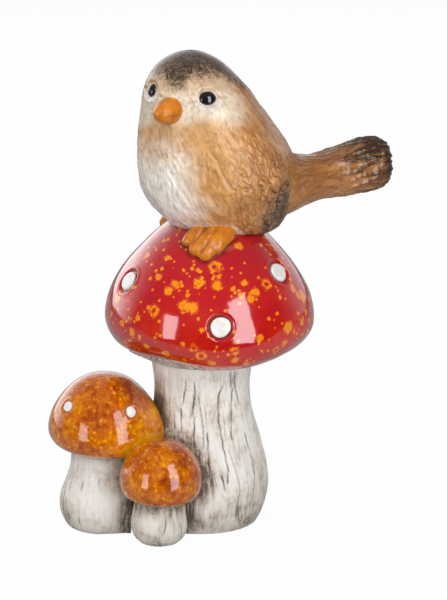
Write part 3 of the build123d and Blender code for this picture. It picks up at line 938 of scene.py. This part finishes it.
# Darkening near other pieces: on the stems partly wash in the joints and partly painted shade between the
# stems and under the small caps, a little of it over the gill rings, and on the small caps the places where
# their glaze runs thin.
stems = [large_stem, left_stem, front_stem]
small_caps = [left_cap, front_cap]
for piece in stems:
    others = [other for other in stems + small_caps if other is not piece]
    set_mask(piece, "corner", near_to(piece, others, reach=7.0) ** 1.4)
for piece in (large_gills, left_gills, front_gills):
    set_mask(piece, "corner", np.full(len(piece.data.vertices), 0.15))
for piece in small_caps:
    others = [other for other in [large_stem, *small_caps] if other is not piece]
    set_mask(piece, "corner", near_to(piece, others, reach=3.6))

# Bird's body: one hollow cast pear of head and breast, leaning the way the bird faces, luted onto
# the crown of the cap. Feathers are scored with a loop tool, and it is painted by brush and airbrush
# under a satin varnish.
bird_heading = math.radians(60)
bird_lean = math.radians(21.2)
bird_setback = 5.6
tail_rise = math.radians(7)
tail_drop = 0.8
up = np.array([0.0, 0.0, 1.0])
facing = np.array([-math.sin(bird_heading), -math.cos(bird_heading), 0.0])
back = -facing
left_side = np.cross(up, facing)
crown = stood(np.array([[0.0, 0.0, 120.0]]), *large_at)[0]
bird_seat = crown - facing * bird_setback
bird_axis = facing * math.sin(bird_lean) + up * math.cos(bird_lean)
bird_frame = np.array([-left_side, np.cross(bird_axis, -left_side), bird_axis])
tail_way = back * math.cos(tail_rise) + up * math.sin(tail_rise)
tail_start = bird_seat - up * tail_drop
body_skin = smooth_line(
    [
        (0, -16.5), (13.5, -12.0), (22.4, 0), (27.4, 9), (27.8, 15), (25.8, 24), (23.0, 31), (18.7, 42.1),
        (13.6, 51.6), (7.4, 56.8), (0, 58.3),
    ],
    0.48,
)
body = turned("bird_body_cast", body_skin.tolist(), 370)
blank = points_of(body)
ahead_angle = math.atan2(*(bird_frame @ facing)[[1, 0]])
stroke_step = 0.4


def body_spot(angle, height):
    """Place on the blank pear at an angle from straight ahead and a height on its axis."""
    radius = radius_at(body_skin, height)
    turn = ahead_angle + angle
    return radius * math.cos(turn), radius * math.sin(turn), height


def feather_strokes(chance, count, angles, heights, length, slant, curl):
    """Scored feathers on the pear, each a short line that can slant and curl."""
    strokes = []
    for _ in range(count):
        angle, height = chance.uniform(*angles), chance.uniform(*heights)
        run = chance.uniform(*length)
        lean = chance.uniform(*slant) * (1 if angle > 0 else -1)
        bend = chance.uniform(-curl, curl)
        depth = chance.uniform(0.4, 1.0)
        parts = max(4, round(run / stroke_step))
        stroke = []
        for part in range(parts):
            radius = max(4.0, radius_at(body_skin, height))
            fade = min(1, 0.3 + part / 4, 0.3 + (parts - part) / 4)
            stroke.append((*body_spot(angle, height), depth * fade))
            turn = lean + bend * part / parts
            height -= stroke_step * math.cos(turn)
            angle += stroke_step * math.sin(turn) / radius
        strokes.append(stroke)
    return strokes


chance = random.Random(61)
all_round = (-3.14, 3.14)
strokes = feather_strokes(
    chance, 210, angles=(-1.25, 1.25), heights=(-2, 30), length=(6, 15), slant=(-0.1, 0.45), curl=0.6
)
strokes += feather_strokes(
    chance, 430, angles=all_round, heights=(-4, 36), length=(3, 6.5), slant=(0.1, 0.9), curl=1.6
)
strokes += feather_strokes(
    chance, 200, angles=(1.9, 4.4), heights=(10, 46), length=(6, 14), slant=(-0.2, 0.2), curl=0.3
)
face_strokes = feather_strokes(
    chance, 320, angles=all_round, heights=(30, 54), length=(1.5, 3.5), slant=(0.0, 0.5), curl=0.4
)
body_groove = carved(blank, strokes, 0.52)
face_groove = carved(blank, face_strokes, 0.42)
points = blank @ bird_frame + bird_seat
reach = (points - tail_start) @ tail_way
beside = np.linalg.norm(points - tail_start - reach[:, None] * tail_way, axis=1)
points = points + (9.0 * bell(beside, 13) * soft_step(reach, 4, 20))[:, None] * tail_way
points = pushed(points, (28, -2, 147), 19, (-2.4, 0, 0))
points = pushed(points, (-24, -10, 141), 14, (-1.1, 0, 0))
points = pushed(points, (-19, -8, 118), 12, (2.3, 0, 0))
set_points(body, points)
body_form = BVHTree.FromObject(body, bpy.context.evaluated_depsgraph_get())


def box_middle(node):
    """Middle of a solid of the frame, in millimetres."""
    low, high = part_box(node)
    return (np.array(low) + np.array(high)) / 2 / MM


def on_body(point):
    """Nearest place on the bird's skin, and the direction that it faces."""
    place, out, _, _ = body_form.find_nearest(Vector(point) * MM)
    return np.array(place) / MM, np.array(out)


eyes = {}
for side, mirror, shift in (("left", 1, (0.0, 0.0, 0.0)), ("right", -1, (-1.3, 1.4, 1.5))):
    place, out = on_body(box_middle(f"{side}_eye") + np.array(shift))
    across = mirror * np.cross(up, out)
    across /= np.linalg.norm(across)
    eyes[side] = (place, out, across, mirror * np.cross(out, across))

eye_folds = [
    ((-3.4, -0.5), (-8.0, -1.6)),
    ((3.3, 0.3), (8.5, 0.2)),
    ((-3.2, 1.2), (-1.0, 3.3)),
    ((-1.0, 3.3), (3.6, 2.6)),
]
outwards = outwards_of(body)
eye_dip = np.zeros(len(points))
lid = np.zeros(len(points))
clear = np.ones(len(points))
fold_lines = []
for place, out, across, above in eyes.values():
    away = points - place
    far = np.linalg.norm(away, axis=1)
    near = (far < 12) & (outwards @ out > 0.2)
    drop = -(away @ above)
    oval = np.hypot(away @ across / 3.3, drop / 2.6)
    eye_dip += near * (0.9 * bell(oval, 1) - 0.35 * bell(oval - 1.55, 0.35))
    lid = np.maximum(lid, near * bell(oval - 1.35, 0.30) * soft_step(drop, 0.6, 1.8))
    clear *= soft_step(far, 3.2, 5.5)
    for start, end in eye_folds:
        line = []
        for t, (beside, over) in zip(np.linspace(0, 1, 14), np.linspace(start, end, 14)):
            spot = on_body(place + across * beside + above * over)[0]
            line.append((*spot, 0.85 * min(1, 0.4 + 3 * t, 0.4 + 3 * (1 - t))))
        fold_lines.append(line)
fold_groove = carved(points, fold_lines, 0.45)

off_front = np.degrees(off_angle(polar(blank)[1], ahead_angle))
head = points - (bird_seat + 42 * bird_axis)
off_face = np.abs(np.degrees(np.arctan2(-head[:, 0], -head[:, 1])) - 17)
off_face = np.minimum(off_face, 360 - off_face)
level = points @ np.array([0, math.sin(camera_rise), math.cos(camera_rise)])
smooth_face = soft_step(level, 139, 146) * (1 - soft_step(off_face, 65, 100))
body_groove *= (1 - smooth_face) * clear
face_groove *= soft_step((points - bird_seat) @ bird_axis, 28, 34) * clear
ripple = 0.22 * lumps(points, 6, 62) + 0.10 * lumps(points, 2.2, 63)
move = ripple * (1 - 0.7 * smooth_face) - eye_dip
move -= 0.36 * body_groove + 0.12 * face_groove + 0.30 * fold_groove
points = points + outwards * move[:, None]
set_points(body, points)


def blended(base, colour, amount):
    """One paint laid over another by an amount at each point."""
    return base * (1 - amount[:, None]) + np.array(colour) * amount[:, None]


def set_paint(piece, colours):
    """Stores the painted colour at each point."""
    layer = piece.data.attributes.new("paint", "FLOAT_COLOR", "POINT")
    opaque = np.concatenate([colours, np.ones((len(colours), 1))], axis=1)
    layer.data.foreach_set("color", opaque.astype(np.float32).ravel())


def set_comb(piece, directions):
    """Stores coordinates that are drawn out along the feathers, for their fine lines."""
    layer = piece.data.attributes.new("comb", "FLOAT_VECTOR", "POINT")
    layer.data.foreach_set("vector", np.ascontiguousarray(directions, dtype=np.float32).ravel())


cream = (0.75, 0.64, 0.50)
breast_white = (0.95, 0.90, 0.84)
brow_tan = (0.58, 0.385, 0.225)
throat_tan = (0.58, 0.33, 0.14)
tan = (0.66, 0.35, 0.12)
gold_brown = (0.48, 0.215, 0.062)
deep_brown = (0.22, 0.095, 0.036)
lid_grey = (0.66, 0.60, 0.62)
uneven = lumps(points, 9, 64) + 0.5 * lumps(points, 3.5, 65)
breast = (1 - soft_step(off_front + 9 * uneven, 24, 62)) * (1 - soft_step(level + 2.5 * uneven, 122, 143))
face = soft_step(level + 1.5 * uneven, 139, 144.5) * (1 - soft_step(off_face + 8 * uneven, 58, 92))
throat = bell(level - 140.2 + 1.5 * uneven, 3.4) * (1 - soft_step(off_face, 30, 75))
belly = (1 - soft_step(level + uneven, 104.5, 107.5)) * (1 - soft_step(off_front, 80, 110))
nape = soft_step(off_face + 8 * uneven, 110, 150) * soft_step(level, 136, 146)
spine = np.maximum(soft_step(off_front + 8 * uneven, 130, 165), nape)
paint = np.tile(np.array(tan), (len(points), 1))
for colour, amount in (
    (gold_brown, soft_step(off_front + 12 * uneven, 75, 125)),
    (breast_white, breast),
    (cream, face),
    (brow_tan, 0.85 * face * soft_step(level + uneven, 150, 156)),
    (throat_tan, 0.45 * throat),
    (cream, 0.8 * belly),
    (deep_brown, 0.42 * spine),
    (lid_grey, 0.85 * lid),
):
    paint = blended(paint, colour, amount)
set_paint(body, paint)
crown_edge = 157.4 - 4.2 * bell(off_face, 16)
crown_edge += 4.5 * soft_step(off_face, 110, 165) - 4.0 * soft_step(off_face, 55, 110)
soot = soft_step(level + 0.9 * uneven + 1.6 * lumps(points, 1.7, 68), crown_edge - 4.2, crown_edge + 6.0)
set_mask(body, "soot", np.clip(soot * (0.94 + 0.22 * lumps(points, 1.2, 69)), 0, 1))
set_mask(body, "crack", np.clip((body_groove + 0.6 * face_groove) * (1 - 0.55 * breast) + fold_groove, 0, 1))
swirl = np.stack([lumps(points, 7, 66), lumps(points, 7, 67), 0 * uneven], axis=1)
set_comb(body, blank * (1, 1, 0.055) + 1.3 * swirl)


def shade_bird(tree, here):
    """Painted feathers: brown settled in the scores, black airbrushed in fine specks, pinholes."""
    paint, comb = stored(tree, "paint", "Color"), stored(tree, "comb", "Vector")
    soot, crack = stored(tree, "soot"), stored(tree, "crack")
    dust = clouds(tree, here, 2600.0)
    cloud = clouds(tree, here, 330.0, 4.0)
    hair = clouds(tree, comb, 1.25)
    holes = add_node(tree, "ShaderNodeTexVoronoi", {"Vector": here, "Scale": 240.0}).outputs["Distance"]
    tone = ramp(tree, cloud, (0.3, grey(0.82)), (0.7, grey(1.10)))
    # Fine lines along the feathers that follow the bump: a warm tint, with painted shade in the low lines
    # and painted light on the raised ones.
    combed_tint_and_light = ramp(tree, hair, (0.32, (0.78, 0.69, 0.59)), (0.46, grey(1.0)), (0.68, (1.08, 1.07, 1.06)))
    base = mixed(tree, 1.0, mixed(tree, 1.0, paint, tone, "MULTIPLY"), combed_tint_and_light, "MULTIPLY")
    stain = mixed(tree, 1.0, base, (0.56, 0.38, 0.23, 1), "MULTIPLY")
    settled = calc(tree, "MULTIPLY", crack, calc(tree, "MULTIPLY_ADD", cloud, 1.3, 0.15), clamp=True)
    base = mixed(tree, settled, base, stain)
    specks = calc(tree, "MULTIPLY", calc(tree, "SUBTRACT", dust, 0.5), 2.6)
    black = calc(tree, "ADD", calc(tree, "MULTIPLY_ADD", soot, 1.6, -0.42), specks)
    sooty = ramp(tree, soot, (0.02, grey(0.0)), (0.12, grey(1.0)))
    black = calc(tree, "MULTIPLY", black, sooty, clamp=True)
    base = mixed(tree, calc(tree, "MULTIPLY", black, 0.95), base, (0.020, 0.010, 0.006, 1))
    pits = ramp(tree, holes, (0.045, grey(0.75)), (0.075, grey(0.0)))
    relief = calc(tree, "MULTIPLY_ADD", cloud, 0.6, hair)
    bump = add_node(tree, "ShaderNodeBump", {"Height": relief, "Strength": 0.35, "Distance": 0.0005})
    return {
        "Base Color": mixed(tree, pits, base, (0.12, 0.07, 0.04, 1)),
        "Normal": bump.outputs[0],
        "Roughness": calc(tree, "MULTIPLY_ADD", cloud, 0.22, 0.18),
        "Coat Weight": 0.3,
        "Coat Roughness": 0.16,
    }


bird_paint = new_material("painted_feathers", shade_bird)
fitted(body, bird_paint, "bird_body")

# Wings: pressed clay leaves laid on the bird's sides. The front edge is smoothed into the breast and
# the rear edge stands proud. Short curls are scored all over, and black is brushed over the rear tips.
wing_outline = [
    (-17, 10), (-16, 20), (-12, 28), (-6, 31.5), (1, 30.5), (7, 26), (11.5, 18.5), (14.5, 9), (16.5, 0),
    (17.0, -5), (14.8, -9.2), (9, -11.2), (2, -10.8), (-5, -7.8), (-12, -1),
]
wing_middle = np.array([0.0, 10.0])
wing_slope = math.radians(-62)
pad_middle, pad_reach, pad_depth = (4, 8), (24, 27), 19.0
curl_step = 0.35
wing_curls = 520


def wing_cast(name, outward):
    """Leaf spun as a flat disc, laid out to the wing's outline and pressed onto the body."""
    rows = [(r, 1.0) for r in np.linspace(0, 1, 90)] + [(1, 0.5), (1, 0), (0.6, 0), (0.3, 0), (0, 0)]
    piece = turned(name, rows, 330)
    points = points_of(piece)
    share, turn = polar(points)
    line = smooth_line(np.array(wing_outline + wing_outline[:3], float) - wing_middle, 0.3)
    angles = np.unwrap(np.arctan2(line[:, 1], line[:, 0]))
    order = np.argsort(angles)
    turn_on_line = (turn - angles.min()) % (2 * math.pi) + angles.min()
    reach = np.interp(turn_on_line, angles[order], np.hypot(*line.T)[order])
    flat = wing_middle + (share * reach)[:, None] * np.stack([np.cos(turn), np.sin(turn)], axis=1)
    rear = soft_step(np.cos(turn - math.radians(-38)), -0.1, 0.5)
    proud = rear * (2.9 * (1 - share**14) - 0.9) + (1 - rear) * (1.6 * (1 - share**2) - 0.45)
    top = points[:, 2] > 0.75
    proud = np.where(top, proud, -2.0)
    placed = np.empty_like(points)
    skin = BVHTree.FromObject(body, bpy.context.evaluated_depsgraph_get())
    for index, ((a, b), extra) in enumerate(zip(flat.tolist(), proud.tolist())):
        foot = bird_seat + back * a + up * b
        hit, out, _, _ = skin.ray_cast(Vector(foot + outward * 60) * MM, Vector(-outward))
        x, y = (a - pad_middle[0]) / pad_reach[0], (b - pad_middle[1]) / pad_reach[1]
        pad = pad_depth * math.sqrt(max(0.02, 1 - x**2 - y**2))
        away, lift = pad, outward + back * x / 2 + up * y / 2
        if hit is not None:
            skin_away = (np.array(hit) / MM - foot) @ outward
            away = (pad + skin_away + math.hypot(pad - skin_away, 1.6)) / 2
            if skin_away > pad:
                lift = np.array(out) + 0.6 * outward
        placed[index] = foot + outward * away + lift / np.linalg.norm(lift) * extra
    set_points(piece, placed)
    return piece, share, flat, rear, top


def dress_wing(piece, share, flat, rear, top, seed):
    """Scores the curls, ruffles the edge and paints the wing."""
    chance = random.Random(seed)
    points = points_of(piece)
    tops = np.flatnonzero(top & (share < 0.985))
    tree = tree_of(np.pad(flat[tops], ((0, 0), (0, 1))))
    strokes = []
    for _ in range(wing_curls):
        a, b = chance.uniform(-17, 17), chance.uniform(-12, 31)
        turn = wing_slope + chance.uniform(-0.5, 0.5)
        bend = chance.choice((-1, 1)) * chance.uniform(0.1, 1.2)
        run = round(chance.uniform(2.8, 6.5) / curl_step)
        depth = chance.uniform(0.45, 1.0)
        stroke = []
        for part in range(run):
            _, found, away = tree.find((a, b, 0))
            if away < 0.6:
                fade = min(1, 0.3 + part / 3, 0.3 + (run - part) / 3)
                stroke.append((*points[tops[found]], depth * fade))
            a += curl_step * math.cos(turn)
            b += curl_step * math.sin(turn)
            turn += bend / run
        strokes.append(stroke)
    groove = carved(points, strokes, 0.36) * top
    ruffle = 0.25 * lumps(points, 3.0, seed) + 0.5 * rear * share**3 * lumps(points, 1.6, seed + 1)
    set_points(piece, points + outwards_of(piece) * (np.where(top, ruffle, 0) - 0.36 * groove)[:, None])
    behind, above = flat.T
    uneven = lumps(points, 8, seed + 2) + 0.5 * lumps(points, 3, seed + 3)
    front = 1 - soft_step(behind + 3 * uneven - 0.2 * above, -17, -6)
    shadow = bell(behind - 8 + 2 * uneven, 4) * soft_step(above, 6, 18)
    paint = np.tile(np.array((0.54, 0.26, 0.085)), (len(points), 1))
    paint = blended(paint, tan, front)
    set_paint(piece, blended(paint, deep_brown, 0.65 * shadow))
    black = soft_step(behind - 0.55 * (above + 6) + 2.5 * uneven, -8, 6)
    black *= 1 - soft_step(above + 2 * uneven, 6, 18)
    black *= 0.64 + 0.55 * groove + 0.35 * lumps(points, 1.1, seed + 5)
    set_mask(piece, "soot", np.clip(black, 0, 1))
    set_mask(piece, "crack", groove)
    along = flat @ np.array([math.cos(wing_slope), math.sin(wing_slope)])
    beside = flat @ np.array([-math.sin(wing_slope), math.cos(wing_slope)])
    swirl = 1.2 * lumps(points, 5, seed + 4)
    set_comb(piece, np.stack([beside + 1.2 * uneven, 0.10 * along, swirl], axis=1))


for side, outward, seed in (("left", left_side, 71), ("right", -left_side, 76)):
    wing, share, flat, rear, top = wing_cast(f"{side}_wing_leaf", outward)
    dress_wing(wing, share, flat, rear, top, seed)
    faced_out(wing)
    fitted(wing, bird_paint, f"{side}_wing")

# Tail: a solid roll of clay drawn out of the bird's back, squared off at the end. Long feathers are
# scored along it, and black is brushed over the top and the end.
reaches = [12, 18, 22, 26, 31, 38, 48, 60, 64.5, 66.6, 67.4]
widths = [10, 12, 12.2, 10.8, 9.2, 8.2, 8.3, 9.0, 8.7, 7.4, 5.0]
tops = [12, 14, 14, 12.6, 10.0, 8.6, 8.9, 9.6, 9.0, 7.6, 5.2]
lows = [8, 9.0, 9.2, 8.8, 8.0, 7.6, 8.5, 9.3, 8.9, 7.6, 5.2]
tail_end = 67.6
tail_feathers = 380
tail_line = smooth_line([(1, reach) for reach in reaches], 0.5)
tail = turned("bird_tail_roll", [(0, reaches[0]), *tail_line.tolist(), (0.5, tail_end), (0, tail_end)], 150)
points = points_of(tail)
reach = points[:, 2]
grow, turn = polar(points)


def squared(value):
    """Sine or cosine pulled towards a square section."""
    return np.sign(value) * np.abs(value) ** 0.82


width_at, top_at, low_at = (
    np.interp(reach, *smooth_line(list(zip(sizes, reaches)), 0.5)[:, ::-1].T)
    for sizes in (widths, tops, lows)
)
across = (grow * width_at * squared(np.cos(turn)))[:, None]
high = (grow * np.where(turn > 0, top_at, low_at) * squared(np.sin(turn)))[:, None]
roll = tail_start + reach[:, None] * tail_way + across * left_side + high * up
chance = random.Random(81)
strokes = []
for _ in range(tail_feathers):
    at, angle = chance.uniform(18, 66), chance.uniform(0, 2 * math.pi)
    run = chance.uniform(4, 17)
    drift = chance.uniform(-0.012, 0.012)
    depth = chance.uniform(0.4, 1.0)
    stroke = []
    for part in range(round(run / stroke_step)):
        if at > 67:
            break
        beside = np.interp(at, reaches, widths) * squared(math.cos(angle))
        above = np.interp(at, reaches, tops if math.sin(angle) > 0 else lows) * squared(math.sin(angle))
        spot = tail_start + at * tail_way + left_side * beside + up * above
        stroke.append((*spot, depth * min(1, 0.3 + part / 4)))
        at += stroke_step
        angle += drift
    strokes.append(stroke)
set_points(tail, roll)
groove = carved(roll, strokes, 0.5)
late = soft_step(reach, 30, 60)
move = 0.3 * lumps(roll, 5, 82) + 0.25 * late * lumps(roll, 1.8, 83) - (0.4 + 0.5 * late) * groove
set_points(tail, roll + outwards_of(tail) * move[:, None])
uneven = lumps(roll, 8, 84) + 0.5 * lumps(roll, 3, 85)
paint = np.tile(np.array((0.41, 0.178, 0.056)), (len(roll), 1))
paint = blended(paint, (0.55, 0.30, 0.13), soft_step(-np.sin(turn) + 0.3 * uneven, 0.35, 0.9))
paint = blended(paint, (0.20, 0.095, 0.045), 0.6 * soft_step(np.sin(turn) + 0.2 * uneven, 0.55, 0.95))
set_paint(tail, paint)
topside = 0.55 + 0.45 * soft_step(np.sin(turn) + 0.3 * uneven, -0.6, 0.5)
black = soft_step(reach + 5 * uneven, 34, 62) * topside * (0.40 + 1.1 * groove)
set_mask(tail, "soot", np.clip(black + 0.5 * soft_step(reach, 60, 66), 0, 1))
set_mask(tail, "crack", groove)
set_comb(tail, np.concatenate([across, high, 0.10 * reach[:, None]], axis=1) + 0.5 * uneven[:, None])
fitted(tail, bird_paint, "bird_tail")

# Beak: a blunt cone of clay pressed onto the face, with the line of the mouth scored round it and
# orange paint over all.
beak_heading = math.radians(37)
beak_root = -2.5
beak_way = np.array([-math.sin(beak_heading), -math.cos(beak_heading), -0.06])
beak_way /= np.linalg.norm(beak_way)
beak_side = np.cross(up, beak_way)
beak_side /= np.linalg.norm(beak_side)
beak_frame = np.array([beak_side, np.cross(beak_way, beak_side), beak_way])
beak_line = smooth_line(
    [(4.9, beak_root), (5.0, -0.4), (4.6, 2.0), (3.8, 4.4), (2.6, 6.4), (1.2, 7.5), (0, 7.8)], 0.25
)
beak = turned("beak_cone", [(0, beak_root), *beak_line.tolist()], 110)
points = points_of(beak)
mouth = bell(points[:, 1] + 0.9, 0.35) * soft_step(points[:, 2], -2, 1)
mouth *= 1 - soft_step(points[:, 2], 4.8, 6.4)
move = 0.12 * lumps(points, 2.2, 91) - 0.22 * mouth
points = points * (0.93, 0.96, 0.96) + outwards_of(beak) * move[:, None]
set_points(beak, points @ beak_frame + on_body(box_middle("beak"))[0])
set_mask(beak, "crack", mouth * 0.5)


def shade_orange(tree, here):
    """Orange paint, browner in the creases, under varnish."""
    cloud = clouds(tree, here, 330.0, 4.0, Distortion=0.6)
    tone = ramp(
        tree, cloud, (0.32, (0.46, 0.135, 0.008)), (0.50, (0.60, 0.180, 0.007)), (0.70, (0.72, 0.245, 0.010))
    )
    return {
        "Base Color": mixed(tree, stored(tree, "crack"), tone, (0.26, 0.075, 0.010, 1)),
        "Normal": rippled(tree, here, 700.0, 0.4),
        "Roughness": calc(tree, "MULTIPLY_ADD", cloud, 0.2, 0.22),
        "Coat Weight": 0.3,
        "Coat Roughness": 0.15,
    }


orange_paint = new_material("orange_paint", shade_orange)
fitted(beak, orange_paint, "beak")

# Eyes: oval beads of clay under black gloss glaze, set in the sockets of the face. The right one is
# turned further away, so its bead is narrower.
eye_sizes = {"left": (1.16, 0.95, 1.0), "right": (0.74, 0.90, 0.9)}
eye_line = smooth_line([(0, 0.95), (1.3, 0.72), (2.3, 0.1), (2.75, -0.9), (2.2, -1.9), (0, -2.2)], 0.18)


def shade_black_gloss(tree, here):
    """Black glaze with a faint brown depth."""
    cloud = clouds(tree, here, 700.0)
    return {
        "Base Color": ramp(tree, cloud, (0.4, (0.006, 0.006, 0.007)), (0.65, (0.014, 0.011, 0.010))),
        "Roughness": calc(tree, "MULTIPLY_ADD", cloud, 0.05, 0.04),
        "Coat Weight": 1.0,
        "Coat Roughness": 0.03,
    }


black_gloss = new_material("black_eye_gloss", shade_black_gloss)
for side, (place, out, across, above) in eyes.items():
    eye = turned(f"{side}_eye_bead", eye_line.tolist(), 64)
    set_points(eye, points_of(eye) * eye_sizes[side] @ np.array([across, above, out]) + place)
    faced_out(eye)
    fitted(eye, black_gloss, f"{side}_eye")

# Feet: three fat toes of clay for each, pinched together, pressed onto the cap in front of the belly
# and painted orange.
toe_lines = [
    ((112.8, -106), (108.8, -116), 2.7),
    ((113.0, -98), (106.8, -105), 3.3),
    ((113.0, -87), (105.8, -95.5), 3.7),
    ((112.6, -78), (107.8, -87), 3.8),
    ((112.4, -71), (110.2, -77), 3.2),
]
toe_swell = (0.92, 0.98, 1.0, 1.0, 0.98, 0.92, 0.8)
toe_creases = [((112.5, -96), (107.6, -108.5)), ((112.0, -86), (105.0, -99.5))]
feet_mirror = -326


def above_cap(height, azimuth, lift):
    """Place over the large cap's skin."""
    place, out = on_skin(large_skin, height, azimuth)
    return stood((place + out * lift)[None, :], *large_at)[0]


def foot_cast(name, toe_azimuth, seed):
    """Toes modelled as rows of balls on the cap, melted into one lump and creased between."""
    balls = []
    for start, end, radius in toe_lines:
        for (height, azimuth), swell in zip(np.linspace(start, end, len(toe_swell)), toe_swell):
            size = radius * swell
            spot = above_cap(height, toe_azimuth(azimuth), 0.25 * size)
            bpy.ops.mesh.primitive_uv_sphere_add(
                segments=24, ring_count=12, radius=size * MM, location=spot * MM
            )
            balls.append(bpy.context.object)
    picked(*balls)
    bpy.ops.object.join()
    foot = bpy.context.object
    foot.name = name
    bpy.ops.object.transform_apply(location=True, rotation=True, scale=True)
    melt = foot.modifiers.new("melt", "REMESH")
    melt.mode = "VOXEL"
    melt.voxel_size = 0.36 * MM
    bpy.ops.object.modifier_apply(modifier="melt")
    calm = foot.modifiers.new("calm", "SMOOTH")
    calm.factor = 0.5
    calm.iterations = 18
    bpy.ops.object.modifier_apply(modifier="calm")
    bpy.ops.object.shade_smooth()
    points = points_of(foot)
    lines = []
    for start, end in toe_creases:
        lines.append([
            (*above_cap(height, toe_azimuth(azimuth), lift), 1.0)
            for height, azimuth in np.linspace(start, end, 40)
            for lift in (1.5, 2.3, 3.1, 3.9)
        ])
    crease = carved(points, lines, 0.7)
    ripple = 0.22 * lumps(points, 3, seed) + 0.10 * lumps(points, 1.3, seed + 1)
    set_points(foot, points + outwards_of(foot) * (ripple - 1.1 * crease)[:, None])
    set_mask(foot, "crack", 0.75 * crease**2)
    return foot


left_foot = foot_cast("left_foot_toes", lambda azimuth: azimuth, 95)
right_foot = foot_cast("right_foot_toes", lambda azimuth: feet_mirror - azimuth, 98)
fitted(left_foot, orange_paint, "left_foot")
fitted(right_foot, orange_paint, "right_foot")
# Painted shade on the red glaze round the bird's feet and body, kept in the cap's corner mask.
near_feet = near_to(large_cap, [left_foot, right_foot], reach=1.9)
near_body = near_to(large_cap, [body], reach=1.8)
set_mask(large_cap, "corner", np.maximum(near_feet, near_body * 0.8))
